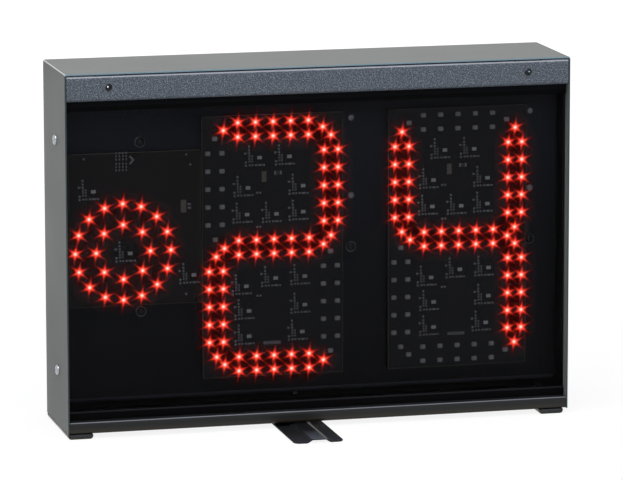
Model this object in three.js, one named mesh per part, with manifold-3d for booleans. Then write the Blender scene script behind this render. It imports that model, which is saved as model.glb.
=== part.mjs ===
// Shot clock: a folded steel case with three LED boards behind a smoked window.
// Millimetres, +Z up. The viewer stands at -Y, so +X is to the viewer's right.
// The origin is on the ground, under the middle of the case.

import * as THREE from 'three';
import { mergeVertices } from 'three/addons/utils/BufferGeometryUtils.js';
import Module from 'manifold-3d';

const wasm = await Module();
wasm.setup();

// Driving dimensions: sheets, feet and depth
const caseDepth = 105;
const footHeight = 4.5;
const shellSheet = 1.5;
const thinSheet = 1.5;
const bendInsideRadius = 1.5;
const tightBendRadius = 0.5;
const seatGap = 0.3;
const overrun = 1;

// Driving dimensions: the LED pitch sets the digits, and the boards and the room around them the case
const ledPitch = 16.75;
const ledTipReach = 13.75;
const ledTipGap = 7.75;
const digitBoardSideMargin = 12;
const digitBoardEndMargin = 13;
const ringBoardWidth = 124;
const ringBoardHeight = 143;
const ringBoardSideGap = 1.5;
const ringToTensGap = 1.3;
const tensToUnitsGap = 44;
const unitsBoardSideGap = 30.2;
const panelRoomBelowBoards = 18.5;
const panelRoomAboveBoards = 29.5;
const panelSideGap = 4;
const panelBottomGap = 23.5;
const panelTopGap = 17.5;
const ringBoardDrop = 30.5;

// The display panel and the case around it
const segmentSpan = (ledPitch * 2 + ledTipReach + ledTipGap) * 2;
const digitBoardWidth = segmentSpan + digitBoardSideMargin * 2;
const digitBoardHeight = segmentSpan * 2 + digitBoardEndMargin * 2;
const panelWidth = ringBoardSideGap + ringBoardWidth + ringToTensGap + digitBoardWidth * 2 + tensToUnitsGap
  + unitsBoardSideGap;
const panelHalfWidth = panelWidth / 2;
const caseBottom = footHeight;
const panelBottom = caseBottom + panelBottomGap;
const digitBoardBottom = panelBottom + panelRoomBelowBoards;
const digitBoardTop = digitBoardBottom + digitBoardHeight;
const panelTop = digitBoardTop + panelRoomAboveBoards;
const caseTop = panelTop + panelTopGap;
const halfWidth = panelHalfWidth + panelSideGap + shellSheet;
const frontY = -caseDepth / 2;
const backY = caseDepth / 2;
const innerHalfWidth = halfWidth - shellSheet;
const innerTop = caseTop - shellSheet;
const fittedHalfWidth = innerHalfWidth - seatGap;

// Top front rail, with the smoked window and its two channels
const railHeight = 23.7;
const railTopGap = 0.8;
const railTopReturn = 14;
const railScrewInset = 41;
const railScrewDrop = 11;
const railLugWidth = 24;
const railLugDrop = 20;
const railLugClearance = 1;
const windowSetback = 10;
const windowThickness = 3;
const windowSideClearance = 1.5;
const channelWidth = 7;
const channelWeb = 1.5;
const channelMargin = 0.5;
const topChannelHeight = 9.5;
const bottomChannelHeight = 7.5;
const windowLiftRoom = 2;

const railTop = innerTop - railTopGap;
const railBottom = railTop - railHeight;
const railScrewX = halfWidth - railScrewInset;
const railScrewZ = railTop - railScrewDrop;
const channelMiddleY = frontY + windowSetback + windowThickness / 2;
const shelfDepth = windowSetback + windowThickness / 2 + channelWidth / 2 + channelMargin;

// Bottom tray and rear cover
const trayLipHeight = 11.5;
const traySideLip = 6;
const trayRearLip = 14;
const rearFlangeWidth = 12;
const coverScrewFromEnd = 50;
const lipTop = caseBottom + trayLipHeight;
const coverFrontY = backY - thinSheet;
const flangeBackY = coverFrontY - seatGap;
const coverTop = innerTop - seatGap;
const sideCoverScrewX = innerHalfWidth - rearFlangeWidth / 2;
const topCoverScrewZ = innerTop - rearFlangeWidth / 2;
const bottomCoverScrewZ = caseBottom + trayRearLip / 2;

// Display panel and its side brackets
const panelSetback = 28;
const panelReturn = 12;
const panelBracketFace = 15;
const panelBracketWall = 33;
const panelBracketEndGap = 4;
const panelFaceY = frontY + panelSetback;
const panelBackY = panelFaceY + thinSheet;
const behindPanelY = panelBackY + seatGap;

// LED boards
const boardThickness = 1.6;
const boardSetback = 22;
const boardCornerInset = 8;
const pillarRadius = 3;
const ledHeight = 2;
const ledAcross = 4.4;
const ledUp = 3.7;
const ledRowGap = 13.4;
const ringOuterRadius = 45;
const ringInnerRadius = 25.5;
const ringOuterCount = 16;
const ringInnerCount = 8;
const ringInsetX = 50;
const ringInsetZ = 51;
const boardFrontY = frontY + boardSetback;
const boardBackY = boardFrontY + boardThickness;
const digitMiddleZ = (digitBoardBottom + digitBoardTop) / 2;
const ringBoardLeft = -panelHalfWidth + ringBoardSideGap;
const ringBoardRight = ringBoardLeft + ringBoardWidth;
const ringBoardTop = digitBoardTop - ringBoardDrop;
const ringBoardBottom = ringBoardTop - ringBoardHeight;
const ringMiddleX = ringBoardLeft + ringInsetX;
const ringMiddleZ = ringBoardBottom + ringInsetZ;
const tensMiddleX = ringBoardRight + ringToTensGap + digitBoardWidth / 2;
const unitsMiddleX = tensMiddleX + digitBoardWidth + tensToUnitsGap;

// Headers and ribbons between the control board and the LED boards
const headerAcross = 6;
const headerUp = 20;
const headerDepth = 8;
const headerSlotClearance = 1.5;
const ribbonThickness = 1;
const ribbonWidth = 16;
const ribbonBend = 4;
const tensHeaderDrop = 26.5;
const unitsHeaderDrop = 42.5;
const ringHeaderInset = 13;
const ringHeaderDrop = 22;
const tensHeaderZ = digitBoardTop - tensHeaderDrop;
const unitsHeaderZ = digitBoardTop - unitsHeaderDrop;
const ringHeaderX = ringBoardRight - ringHeaderInset;
const ringHeaderZ = ringBoardTop - ringHeaderDrop;

// Control board behind the panel, on four riveted posts
const controlBoardStandoff = 10;
const controlBoardEdge = 8;
const controlHeaderInset = 5.5;
const chipWidth = 16;
const chipHeight = 8;
const chipDepth = 1.5;
const postLeftGap = 34.8;
const postRightGap = 4.7;
const postLowerDrop = 80;
const postUpperDrop = 6.5;
const hornHeaderRise = 17.5;
const postHeadRadius = 3.25;
const postHeadHeight = 1.7;
const postShoulderRadius = 3.5;
const postPinRadius = 1.5;
const postPinReach = 3;
const postLeftX = unitsMiddleX - digitBoardWidth / 2 - postLeftGap;
const postRightX = unitsMiddleX + digitBoardWidth / 2 + postRightGap;
const postLowerZ = digitBoardTop - postLowerDrop;
const postUpperZ = digitBoardTop - postUpperDrop;
const controlFrontY = panelBackY + controlBoardStandoff;
const controlBackY = controlFrontY + thinSheet;
const controlLeftX = postLeftX - controlBoardEdge;
const controlRightX = postRightX + controlBoardEdge;
const controlBottomZ = postLowerZ - controlBoardEdge;
const controlTopZ = postUpperZ + controlBoardEdge;
const controlHeaderX = controlLeftX + controlHeaderInset;
const leadBlockWidth = 24;
const leadBlockHeight = 10;
const leadBlockDepth = 9;
const leadBlockInset = 22.5;
const leadBlockSpread = 7;
const leadBlockX = controlLeftX + leadBlockInset;
const hornHeaderZ = controlBottomZ + hornHeaderRise;

// Power supply behind the panel
const supplyLeftInset = 9.5;
const supplyRightInset = 10;
const supplyControlGap = 4.5;
const supplyHeight = 72;
const supplyDepth = 38;
const supplyEar = 18;
const supplyBoardStandoff = 7;
const supplyBoardMargin = 4;
const supplyCoverSetback = 28;
const supplyVentCount = 9;
const supplyVentWidth = 3;
const supplyVentShare = 0.55;
const supplyPartShare = 0.62;
const terminalWidth = 20;
const terminalHeight = 12;
const terminalDepth = 13;
const terminalInset = 1.5;
const supplyLeft = postLeftX + supplyLeftInset;
const supplyRight = postRightX - supplyRightInset;
const supplyTop = controlBottomZ - supplyControlGap;
const supplyBottom = supplyTop - supplyHeight;
const supplyMiddleZ = (supplyBottom + supplyTop) / 2;
const supplyBackY = behindPanelY + supplyDepth;
const supplyBoardY = behindPanelY + thinSheet + supplyBoardStandoff;
const terminalX = supplyLeft + thinSheet + supplyBoardMargin + terminalInset + terminalWidth / 2;

// Horn behind the panel, on a strap
const hornInset = 68;
const hornScrewBelowBoard = 7;
const hornScrewAboveBoard = 8.6;
const hornStrapWidth = 20;
const hornStrapEnd = 8;
const hornRimRadius = 45;
const hornBackRadius = 30;
const hornThroatRadius = 12;
const hornLength = 52;
const hornRimThickness = 3;
const hornBackLength = 22;
const hornTerminal = 6;
const hornMiddleX = ringBoardLeft + hornInset;
const hornLowScrewZ = ringBoardBottom - hornScrewBelowBoard;
const hornHighScrewZ = ringBoardTop + hornScrewAboveBoard;
const hornMiddleZ = (hornLowScrewZ + hornHighScrewZ) / 2;
const hornScrewSpan = hornHighScrewZ - hornLowScrewZ;

// Fasteners
const shankRadius = 1.9;
const shankClearance = 0.3;
const panHeadRadius = 4.8;
const panHeadHeight = 2.6;
const recessWidth = 1.3;
const recessShare = 0.62;
const coverScrewLength = 7;
const sideScrewLength = 8;
const headSink = 0.2;
const railScrewHeadRadius = 3;
const railScrewHeadDepth = 1.3;
const railScrewLength = 9;
const railScrewShank = 1.5;
const footScrewHeadRadius = 3;
const footScrewLength = 7;
const domeHeadRadius = 4.4;
const domeHeadHeight = 3.6;
const domeWasherRadius = 5;
const domeWasherThickness = 0.8;
const domeSocketRadius = 1.8;
const domeSocketDepth = 2;
const domeShankReach = 6;
const sideScrewSetback = 45;
const sideScrewRise = 52.5;
const sideScrewDrop = 66.5;
const sideScrewLowerZ = caseBottom + sideScrewRise;
const sideScrewUpperZ = caseTop - sideScrewDrop;
const sideScrewY = frontY + sideScrewSetback;

// Foot channels and the swivel foot
const footChannelWidth = 23.5;
const footChannelInset = 4.5;
const footScrewFromEnd = 18;
const swivelFootWidth = 47;
const swivelFootReach = 69;
const swivelCrownWidth = 13;
const swivelWallRun = 4.5;
const swivelFootX = -19;
const swivelCornerRadius = 6;
const swivelRivetRadius = 3.5;
const swivelRivetHead = 5.5;
const swivelRivetHeadHeight = 1.4;
const swivelNutRadius = 7;
const swivelNutHeight = 3;
const footTop = caseBottom - seatGap;
const footLength = flangeBackY - frontY;
const swivelFootLength = caseDepth + swivelFootReach * 2;

// Power inlet with its fuse drawer and rocker switch, and the data sockets
const inletInset = 90;
const inletRise = 57.5;
const inletFlangeWidth = 32;
const inletFlangeHeight = 62;
const inletFlangeThickness = 2.5;
const inletBodyWidth = 27;
const inletBodyHeight = 57;
const inletBodyDepth = 30;
const plugWidth = 24;
const plugHeight = 16.5;
const plugDepth = 16;
const plugChamfer = 4.5;
const plugDrop = 15.5;
const bladeWidth = 2;
const bladeHeight = 4;
const bladeLength = 10;
const bladeSpacing = 7;
const bladeOffset = 2;
const drawerWidth = 20;
const drawerHeight = 6.5;
const drawerDepth = 16;
const drawerGripHeight = 2;
const drawerGripReach = 1.2;
const drawerRise = 1.5;
const runningGap = 0.4;
const rockerWidth = 18;
const rockerHeight = 12.6;
const rockerCrown = 1.2;
const rockerEdge = 2.4;
const rockerShoulder = 0.5;
const rockerRoot = 4;
const rockerPivotDepth = 1.5;
const rockerPocketDepth = 9;
const rockerPocketHeight = 14.4;
const rockerRise = 18.5;
const rockerTilt = THREE.MathUtils.degToRad(8);
const inletX = halfWidth - inletInset;
const inletZ = caseBottom + inletRise;
const inletFaceY = backY + inletFlangeThickness;
const plugZ = inletZ - plugDrop;
const drawerZ = inletZ + drawerRise;
const rockerZ = inletZ + rockerRise;
const rockerY = inletFaceY - rockerPivotDepth;

const socketInletSpacing = 90;
const socketSpacing = 36;
const socketInX = inletX - socketInletSpacing;
const socketZ = inletZ;
const socketOutX = socketInX - socketSpacing;
const socketFlange = 26;
const socketFlangeCorner = 3;
const socketFlangeThickness = 2;
const socketBarrelRadius = 10;
const socketBoreRadius = 8;
const socketBoreDepth = 13;
const socketDepth = 18;
const socketPinRadius = 0.7;
const socketPinLength = 7;
const socketPinCircle = 4.5;
const socketPinCount = 5;
const socketPinArc = THREE.MathUtils.degToRad(180);
const socketCollar = 1.5;

// Openings in the rear cover
const keyholeInset = 90;
const keyholeDrop = 42;
const keyholeRadius = 5;
const keyholeSlotWidth = 5;
const keyholeSlotRise = 10;
const ventSlotWidth = 3;
const ventSlotHeight = 26;
const ventSlotPitch = 12;
const ventSlotCount = 11;
const ventRowRise = 40;
const hornSlotWidth = 3;
const hornSlotPitch = 9;
const hornSlotCount = 9;
const keyholeX = halfWidth - keyholeInset;
const ventRowZ = supplyTop + ventRowRise;

// Round leads inside the case
const mainsLeadRadius = 3;
const thinLeadRadius = 1.8;
const leadSides = 8;
const leadStepShare = 2.2;
const leadStubShare = 2.5;
const linkLeadBow = 14;

// Facets
const headSides = 14;
const holeSides = 10;
const hexSides = 6;
const roundSides = 24;
const bendSteps = 4;

const xAxis = new THREE.Vector3(1, 0, 0);
const yAxis = new THREE.Vector3(0, 1, 0);
const zAxis = new THREE.Vector3(0, 0, 1);
const toLeft = xAxis.clone().negate();
const toFront = yAxis.clone().negate();
const toGround = zAxis.clone().negate();

// A manifold solid of a closed geometry
function solidOf(geometry) {
  const bare = geometry.clone();
  bare.deleteAttribute('normal');
  bare.deleteAttribute('uv');
  const merged = mergeVertices(bare);
  return new wasm.Manifold(new wasm.Mesh({
    numProp: 3,
    vertProperties: new Float32Array(merged.attributes.position.array),
    triVerts: new Uint32Array(merged.index.array),
  }));
}

// A geometry of a manifold solid
function geometryOf(solid) {
  const mesh = solid.getMesh();
  const geometry = new THREE.BufferGeometry();
  geometry.setAttribute('position', new THREE.BufferAttribute(mesh.vertProperties, mesh.numProp));
  geometry.setIndex(new THREE.BufferAttribute(mesh.triVerts, 1));
  geometry.computeVertexNormals();
  return geometry;
}

// One geometry joined from the first list, less the second list
function carve(added, removed = []) {
  let solid = wasm.Manifold.union(added.map(solidOf));
  if (removed.length > 0) {
    solid = solid.subtract(wasm.Manifold.union(removed.map(solidOf)));
  }
  return geometryOf(solid);
}

function block(x0, x1, y0, y1, z0, z1) {
  const geometry = new THREE.BoxGeometry(x1 - x0, y1 - y0, z1 - z0);
  return geometry.translate((x0 + x1) / 2, (y0 + y1) / 2, (z0 + z1) / 2);
}

// Outlines drawn in (y, z), (x, z) or (x, y) and drawn out along the third axis
function extrude(outline, length) {
  return new THREE.ExtrudeGeometry(outline, { depth: length, bevelEnabled: false, curveSegments: bendSteps });
}

function alongX(outline, from, to) {
  const turn = new THREE.Matrix4().makeBasis(yAxis, zAxis, xAxis);
  return extrude(outline, to - from).applyMatrix4(turn).translate(from, 0, 0);
}

function alongY(outline, from, to) {
  const turn = new THREE.Matrix4().makeBasis(xAxis, zAxis, yAxis.clone().negate());
  return extrude(outline, to - from).applyMatrix4(turn).translate(0, to, 0);
}

function alongZ(outline, from, to) {
  return extrude(outline, to - from).translate(0, 0, from);
}

// Outline of a sheet folded along its middle line, with round bends
function foldedOutline(line, thickness, insideRadius = bendInsideRadius) {
  const middleRadius = insideRadius + thickness / 2;
  const left = [];
  const right = [];
  const addPair = (middle, normal) => {
    left.push(middle.clone().addScaledVector(normal, thickness / 2));
    right.push(middle.clone().addScaledVector(normal, -thickness / 2));
  };
  const points = line.map(([u, v]) => new THREE.Vector2(u, v));
  const headings = points.slice(1).map((point, index) => point.clone().sub(points[index]).normalize());
  const normalOf = (heading) => new THREE.Vector2(-heading.y, heading.x);
  addPair(points[0], normalOf(headings[0]));
  for (let index = 1; index < points.length - 1; index += 1) {
    const before = headings[index - 1];
    const after = headings[index];
    const turn = Math.atan2(before.cross(after), before.dot(after));
    const side = Math.sign(turn);
    const start = points[index].clone().addScaledVector(before, -middleRadius * Math.tan(Math.abs(turn) / 2));
    const centre = start.clone().addScaledVector(normalOf(before), side * middleRadius);
    for (let step = 0; step <= bendSteps; step += 1) {
      const normal = normalOf(before).rotateAround(new THREE.Vector2(), turn * step / bendSteps);
      addPair(centre.clone().addScaledVector(normal, -side * middleRadius), normal);
    }
  }
  addPair(points.at(-1), normalOf(headings.at(-1)));
  return new THREE.Shape([...left, ...right.reverse()]);
}

function polygon(points) {
  return new THREE.Shape(points.map(([u, v]) => new THREE.Vector2(u, v)));
}

function roundedRectangle(u0, u1, v0, v1, radius) {
  const outline = new THREE.Shape();
  outline.moveTo(u0 + radius, v0);
  outline.lineTo(u1 - radius, v0);
  outline.absarc(u1 - radius, v0 + radius, radius, -Math.PI / 2, 0);
  outline.lineTo(u1, v1 - radius);
  outline.absarc(u1 - radius, v1 - radius, radius, 0, Math.PI / 2);
  outline.lineTo(u0 + radius, v1);
  outline.absarc(u0 + radius, v1 - radius, radius, Math.PI / 2, Math.PI);
  outline.lineTo(u0, v0 + radius);
  outline.absarc(u0 + radius, v0 + radius, radius, Math.PI, Math.PI * 3 / 2);
  return outline;
}

// A turned piece: its profile runs in (radius, height) and rises from a point along a direction
function turned(profile, place, direction, sides = headSides) {
  const points = profile.map(([radius, height]) => new THREE.Vector2(radius, height));
  const geometry = new THREE.LatheGeometry(points, sides);
  const quaternion = new THREE.Quaternion().setFromUnitVectors(yAxis, direction);
  return geometry.applyQuaternion(quaternion).translate(place.x, place.y, place.z);
}

function rod(radius, from, to, sides = headSides) {
  const length = from.distanceTo(to);
  const direction = to.clone().sub(from).normalize();
  return turned([[0, 0], [radius, 0], [radius, length], [0, length]], from, direction, sides);
}

// A round hole cutter through a sheet that faces along a direction
function hole(radius, place, direction, depth, sides = holeSides) {
  const from = place.clone().addScaledVector(direction, -depth);
  const to = place.clone().addScaledVector(direction, depth);
  return rod(radius, from, to, sides);
}

function at(x, y, z) {
  return new THREE.Vector3(x, y, z);
}

// The cross recess of a screw head, as two crossed bars
function crossRecess(place, direction, headRadius, depth) {
  const bars = [];
  for (const turn of [0, Math.PI / 2]) {
    const bar = new THREE.BoxGeometry(headRadius * 2 * recessShare, depth * 2, recessWidth);
    bar.rotateY(turn);
    bar.applyQuaternion(new THREE.Quaternion().setFromUnitVectors(yAxis, direction));
    bars.push(bar.translate(place.x, place.y, place.z));
  }
  return bars;
}

// A pan head screw: the place is on the sheet under its head, and the direction points out
function panScrew(place, direction, length) {
  const low = panHeadHeight / 2;
  const crownRadius = panHeadRadius * recessShare;
  const body = turned([
    [0, -length],
    [shankRadius, -length],
    [shankRadius, seatGap / 2],
    [panHeadRadius, seatGap / 2],
    [panHeadRadius, low],
    [(panHeadRadius + crownRadius) / 2, panHeadHeight * recessShare + low / 2],
    [crownRadius, panHeadHeight],
    [0, panHeadHeight],
  ], place, direction);
  const top = place.clone().addScaledVector(direction, panHeadHeight);
  return carve([body], crossRecess(top, direction, crownRadius, low));
}

// A countersunk screw whose head ends a little under the face that it sits in
function countersunkScrew(place, direction, headRadius, shank, length) {
  const coneDepth = headRadius - shank;
  const body = turned([
    [0, -length],
    [shank, -length],
    [shank, -headSink - coneDepth],
    [headRadius, -headSink],
    [0, -headSink],
  ], place, direction);
  const top = place.clone().addScaledVector(direction, -headSink);
  return carve([body], crossRecess(top, direction, headRadius * recessShare, coneDepth / 2));
}

// The cutter of the countersink and the hole for such a screw
function countersink(place, direction, headRadius, shank, depth) {
  return turned([
    [0, -depth],
    [shank + shankClearance, -depth],
    [shank + shankClearance, -headSink - headRadius + shank],
    [headRadius + shankClearance, -headSink],
    [headRadius + shankClearance, overrun],
    [0, overrun],
  ], place, direction);
}

// Case shell: left wall, top and right wall from one sheet, with rear flanges and two rail lugs
function caseShell() {
  const wallMiddle = halfWidth - shellSheet / 2;
  const topMiddle = caseTop - shellSheet / 2;
  const fold = foldedOutline([
    [-wallMiddle, caseBottom],
    [-wallMiddle, topMiddle],
    [wallMiddle, topMiddle],
    [wallMiddle, caseBottom],
  ], shellSheet, tightBendRadius);
  const flangeBottom = caseBottom + trayRearLip + overrun;
  const flangeInner = innerHalfWidth - rearFlangeWidth;
  const rearFlange = polygon([
    [-wallMiddle, flangeBottom],
    [-flangeInner, flangeBottom],
    [-flangeInner, innerTop - rearFlangeWidth],
    [flangeInner, innerTop - rearFlangeWidth],
    [flangeInner, flangeBottom],
    [wallMiddle, flangeBottom],
    [wallMiddle, topMiddle],
    [-wallMiddle, topMiddle],
  ]);
  const added = [
    alongY(fold, frontY, backY),
    alongY(rearFlange, flangeBackY - shellSheet, flangeBackY),
  ];
  const removed = [];
  const lugFrontY = frontY + thinSheet + seatGap;
  for (const side of [-1, 1]) {
    const x = side * railScrewX;
    added.push(block(x - railLugWidth / 2, x + railLugWidth / 2, lugFrontY, lugFrontY + shellSheet,
      innerTop - railLugDrop, topMiddle));
    removed.push(hole(railScrewShank + shankClearance, at(x, lugFrontY, railScrewZ), yAxis, shellSheet * 2));
    for (const z of [sideScrewLowerZ, sideScrewUpperZ]) {
      const place = at(side * halfWidth, sideScrewY, z);
      removed.push(hole(shankRadius + shankClearance, place, xAxis, shellSheet * 2));
    }
  }
  for (const place of coverScrewPlaces()) {
    if (place.z > flangeBottom) {
      removed.push(hole(shankRadius + shankClearance, place, yAxis, rearFlangeWidth / 2));
    }
  }
  return carve(added, removed);
}

function coverScrewPlaces() {
  const places = [at(0, backY, topCoverScrewZ), at(0, backY, bottomCoverScrewZ)];
  for (const side of [-1, 1]) {
    for (const z of [caseBottom + coverScrewFromEnd, caseTop - coverScrewFromEnd]) {
      places.push(at(side * sideCoverScrewX, backY, z));
    }
  }
  return places;
}

function footScrewPlaces(middleX) {
  return [frontY + footScrewFromEnd, flangeBackY - footScrewFromEnd].map((y) => at(middleX, y, 0));
}

// Bottom tray: front lip with the shelf that carries the window channel, floor, side and rear lips
function bottomTray() {
  const lipMiddleY = frontY + thinSheet / 2;
  const floorMiddleZ = caseBottom + thinSheet / 2;
  const shelfMiddleZ = lipTop - thinSheet / 2;
  const rearMiddleY = flangeBackY - thinSheet / 2;
  const fold = foldedOutline([
    [frontY + shelfDepth, shelfMiddleZ],
    [lipMiddleY, shelfMiddleZ],
    [lipMiddleY, floorMiddleZ],
    [rearMiddleY, floorMiddleZ],
    [rearMiddleY, caseBottom + trayRearLip],
  ], thinSheet);
  const added = [alongX(fold, -fittedHalfWidth, fittedHalfWidth)];
  for (const side of [-1, 1]) {
    const outer = side * fittedHalfWidth;
    const inner = side * (fittedHalfWidth - thinSheet);
    added.push(block(Math.min(outer, inner), Math.max(outer, inner), frontY + shelfDepth,
      flangeBackY - trayRearLip, floorMiddleZ, caseBottom + traySideLip));
  }
  const removed = [
    hole(swivelRivetRadius + shankClearance, at(swivelFootX, 0, caseBottom), zAxis, footHeight),
    hole(shankRadius + shankClearance, at(0, flangeBackY, bottomCoverScrewZ), yAxis, thinSheet * 2),
  ];
  for (const place of [...footScrewPlaces(leftFootX), ...footScrewPlaces(rightFootX)]) {
    removed.push(hole(shankRadius + shankClearance, at(place.x, place.y, caseBottom), zAxis, footHeight));
  }
  return carve(added, removed);
}

// Top front rail: it covers the window's upper edge and comes off with two screws
function topFrontRail() {
  const fold = foldedOutline([
    [frontY + railTopReturn, railTop - thinSheet / 2],
    [frontY + thinSheet / 2, railTop - thinSheet / 2],
    [frontY + thinSheet / 2, railBottom + thinSheet / 2],
    [frontY + shelfDepth, railBottom + thinSheet / 2],
  ], thinSheet);
  const removed = [];
  const lugFrontY = frontY + thinSheet + seatGap;
  for (const side of [-1, 1]) {
    const x = side * railScrewX;
    const reach = railLugWidth / 2 + railLugClearance;
    removed.push(block(x - reach, x + reach, lugFrontY - seatGap / 2, frontY + railTopReturn + overrun,
      railBottom + railHeight / 2, railTop + overrun));
    removed.push(countersink(at(x, frontY, railScrewZ), toFront, railScrewHeadRadius,
      railScrewShank, railScrewHeadDepth * 2));
  }
  return carve([alongX(fold, -fittedHalfWidth, fittedHalfWidth)], removed);
}

// A plastic channel that holds one long edge of the window; its open side faces up or down
function windowChannel(webZ, mouthZ) {
  const halfOuter = channelWidth / 2;
  const halfGroove = windowThickness / 2 + seatGap;
  const floorZ = webZ + Math.sign(mouthZ - webZ) * channelWeb;
  const outline = polygon([
    [channelMiddleY - halfOuter, webZ],
    [channelMiddleY + halfOuter, webZ],
    [channelMiddleY + halfOuter, mouthZ],
    [channelMiddleY + halfGroove, mouthZ],
    [channelMiddleY + halfGroove, floorZ],
    [channelMiddleY - halfGroove, floorZ],
    [channelMiddleY - halfGroove, mouthZ],
    [channelMiddleY - halfOuter, mouthZ],
  ]);
  return alongX(outline, -fittedHalfWidth, fittedHalfWidth);
}

const bottomChannelWeb = lipTop + seatGap;
const topChannelWeb = railBottom - seatGap;

function smokedWindow() {
  const reach = innerHalfWidth - windowSideClearance;
  const low = bottomChannelWeb + channelWeb + seatGap;
  const high = topChannelWeb - channelWeb - windowLiftRoom;
  return block(-reach, reach, channelMiddleY - windowThickness / 2, channelMiddleY + windowThickness / 2,
    low, high);
}

// Pillar places on an LED board, near its corners
function pillarPlaces(left, right, low, high) {
  const places = [];
  for (const x of [left + boardCornerInset, right - boardCornerInset]) {
    for (const z of [low + boardCornerInset, high - boardCornerInset]) {
      places.push(at(x, panelBackY, z));
    }
  }
  return places;
}

function digitBoardEdges(middleX) {
  return [middleX - digitBoardWidth / 2, middleX + digitBoardWidth / 2, digitBoardBottom, digitBoardTop];
}

const ringBoardEdges = [ringBoardLeft, ringBoardRight, ringBoardBottom, ringBoardTop];

function postPlaces() {
  const places = [];
  for (const x of [postLeftX, postRightX]) {
    for (const z of [postLowerZ, postUpperZ]) {
      places.push(at(x, panelFaceY, z));
    }
  }
  return places;
}

function supplyScrewPlaces() {
  return [postLeftX, postRightX].map((x) => at(x, panelFaceY, supplyMiddleZ));
}

function hornScrewPlaces() {
  return [-1, 1].map((side) => at(hornMiddleX, panelFaceY, hornMiddleZ + side * hornScrewSpan / 2));
}

// Display panel: the dark sheet behind the boards, with its pressed-in pillars, slots and holes
function displayPanel() {
  const middleY = panelFaceY + thinSheet / 2;
  const fold = foldedOutline([
    [panelFaceY + panelReturn, panelBottom + thinSheet / 2],
    [middleY, panelBottom + thinSheet / 2],
    [middleY, panelTop - thinSheet / 2],
    [panelFaceY + panelReturn, panelTop - thinSheet / 2],
  ], thinSheet);
  const added = [alongX(fold, -panelHalfWidth, panelHalfWidth)];
  const boards = [ringBoardEdges, digitBoardEdges(tensMiddleX), digitBoardEdges(unitsMiddleX)];
  for (const edges of boards) {
    for (const place of pillarPlaces(...edges)) {
      added.push(rod(pillarRadius, place, at(place.x, boardBackY + seatGap, place.z), holeSides));
    }
  }
  const removed = [];
  const slots = [[tensMiddleX, tensHeaderZ], [ringHeaderX, ringHeaderZ], [unitsMiddleX, unitsHeaderZ]];
  for (const [x, z] of slots) {
    const across = headerAcross / 2 + headerSlotClearance;
    const up = headerUp / 2 + headerSlotClearance;
    removed.push(block(x - across, x + across, panelFaceY - overrun, panelBackY + overrun, z - up, z + up));
  }
  for (const place of [...postPlaces(), ...supplyScrewPlaces(), ...hornScrewPlaces()]) {
    removed.push(hole(shankRadius + shankClearance, place, yAxis, thinSheet * 2));
  }
  return carve(added, removed);
}

// Side bracket: an upright angle that holds the panel's edge and is screwed to the case wall
function panelBracket(side) {
  const wallX = side * (fittedHalfWidth - thinSheet / 2);
  const faceY = behindPanelY + thinSheet / 2;
  const fold = foldedOutline([
    [wallX - side * panelBracketFace, faceY],
    [wallX, faceY],
    [wallX, behindPanelY + panelBracketWall],
  ], thinSheet);
  const removed = [sideScrewLowerZ, sideScrewUpperZ].map((z) => (
    hole(shankRadius + shankClearance, at(wallX, sideScrewY, z), xAxis, thinSheet * 2)
  ));
  const low = panelBottom + panelBracketEndGap;
  const high = panelTop - panelBracketEndGap;
  return carve([alongZ(fold, low, high)], removed);
}

// LED packages stand on a board at places given as [x, z]
function ledBlocks(places) {
  return places.map(([x, z]) => block(x - ledAcross / 2, x + ledAcross / 2, boardFrontY - ledHeight,
    boardFrontY + boardThickness / 2, z - ledUp / 2, z + ledUp / 2));
}

// Seven segments: the middle of each in shares of the segment span, and whether it lies flat
const segmentShares = [
  { middle: [0, 1], flat: true },
  { middle: [0, 0], flat: true },
  { middle: [0, -1], flat: true },
  { middle: [-0.5, 0.5], flat: false },
  { middle: [0.5, 0.5], flat: false },
  { middle: [-0.5, -0.5], flat: false },
  { middle: [0.5, -0.5], flat: false },
];

// Twelve LEDs of one segment: five pairs and one more at each end
function segmentLeds(middleX, middleZ, flat) {
  const places = [];
  const add = (along, across) => {
    places.push(flat ? [middleX + along, middleZ + across] : [middleX + across, middleZ + along]);
  };
  for (let index = -2; index <= 2; index += 1) {
    add(index * ledPitch, -ledRowGap / 2);
    add(index * ledPitch, ledRowGap / 2);
  }
  const tip = ledPitch * 2 + ledTipReach;
  add(-tip, 0);
  add(tip, 0);
  return places;
}

function digitLeds(middleX) {
  return segmentShares.flatMap(({ middle, flat }) => (
    segmentLeds(middleX + middle[0] * segmentSpan, digitMiddleZ + middle[1] * segmentSpan, flat)
  ));
}

function ringLeds() {
  const places = [];
  for (const [radius, count] of [[ringOuterRadius, ringOuterCount], [ringInnerRadius, ringInnerCount]]) {
    for (let index = 0; index < count; index += 1) {
      const angle = Math.PI * 2 * index / count;
      places.push([ringMiddleX + Math.sin(angle) * radius, ringMiddleZ + Math.cos(angle) * radius]);
    }
  }
  return places;
}

// An LED board: its sheet, its LEDs and the header behind it
function ledBoard([left, right, low, high], leds, headerX, headerZ) {
  return carve([
    block(left, right, boardFrontY, boardBackY, low, high),
    block(headerX - headerAcross / 2, headerX + headerAcross / 2, boardFrontY + boardThickness / 2,
      boardBackY + headerDepth, headerZ - headerUp / 2, headerZ + headerUp / 2),
    ...ledBlocks(leds),
  ]);
}

function ringBoard() {
  return ledBoard(ringBoardEdges, ringLeds(), ringHeaderX, ringHeaderZ);
}

function digitBoard(middleX, headerZ) {
  return ledBoard(digitBoardEdges(middleX), digitLeds(middleX), middleX, headerZ);
}

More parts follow.
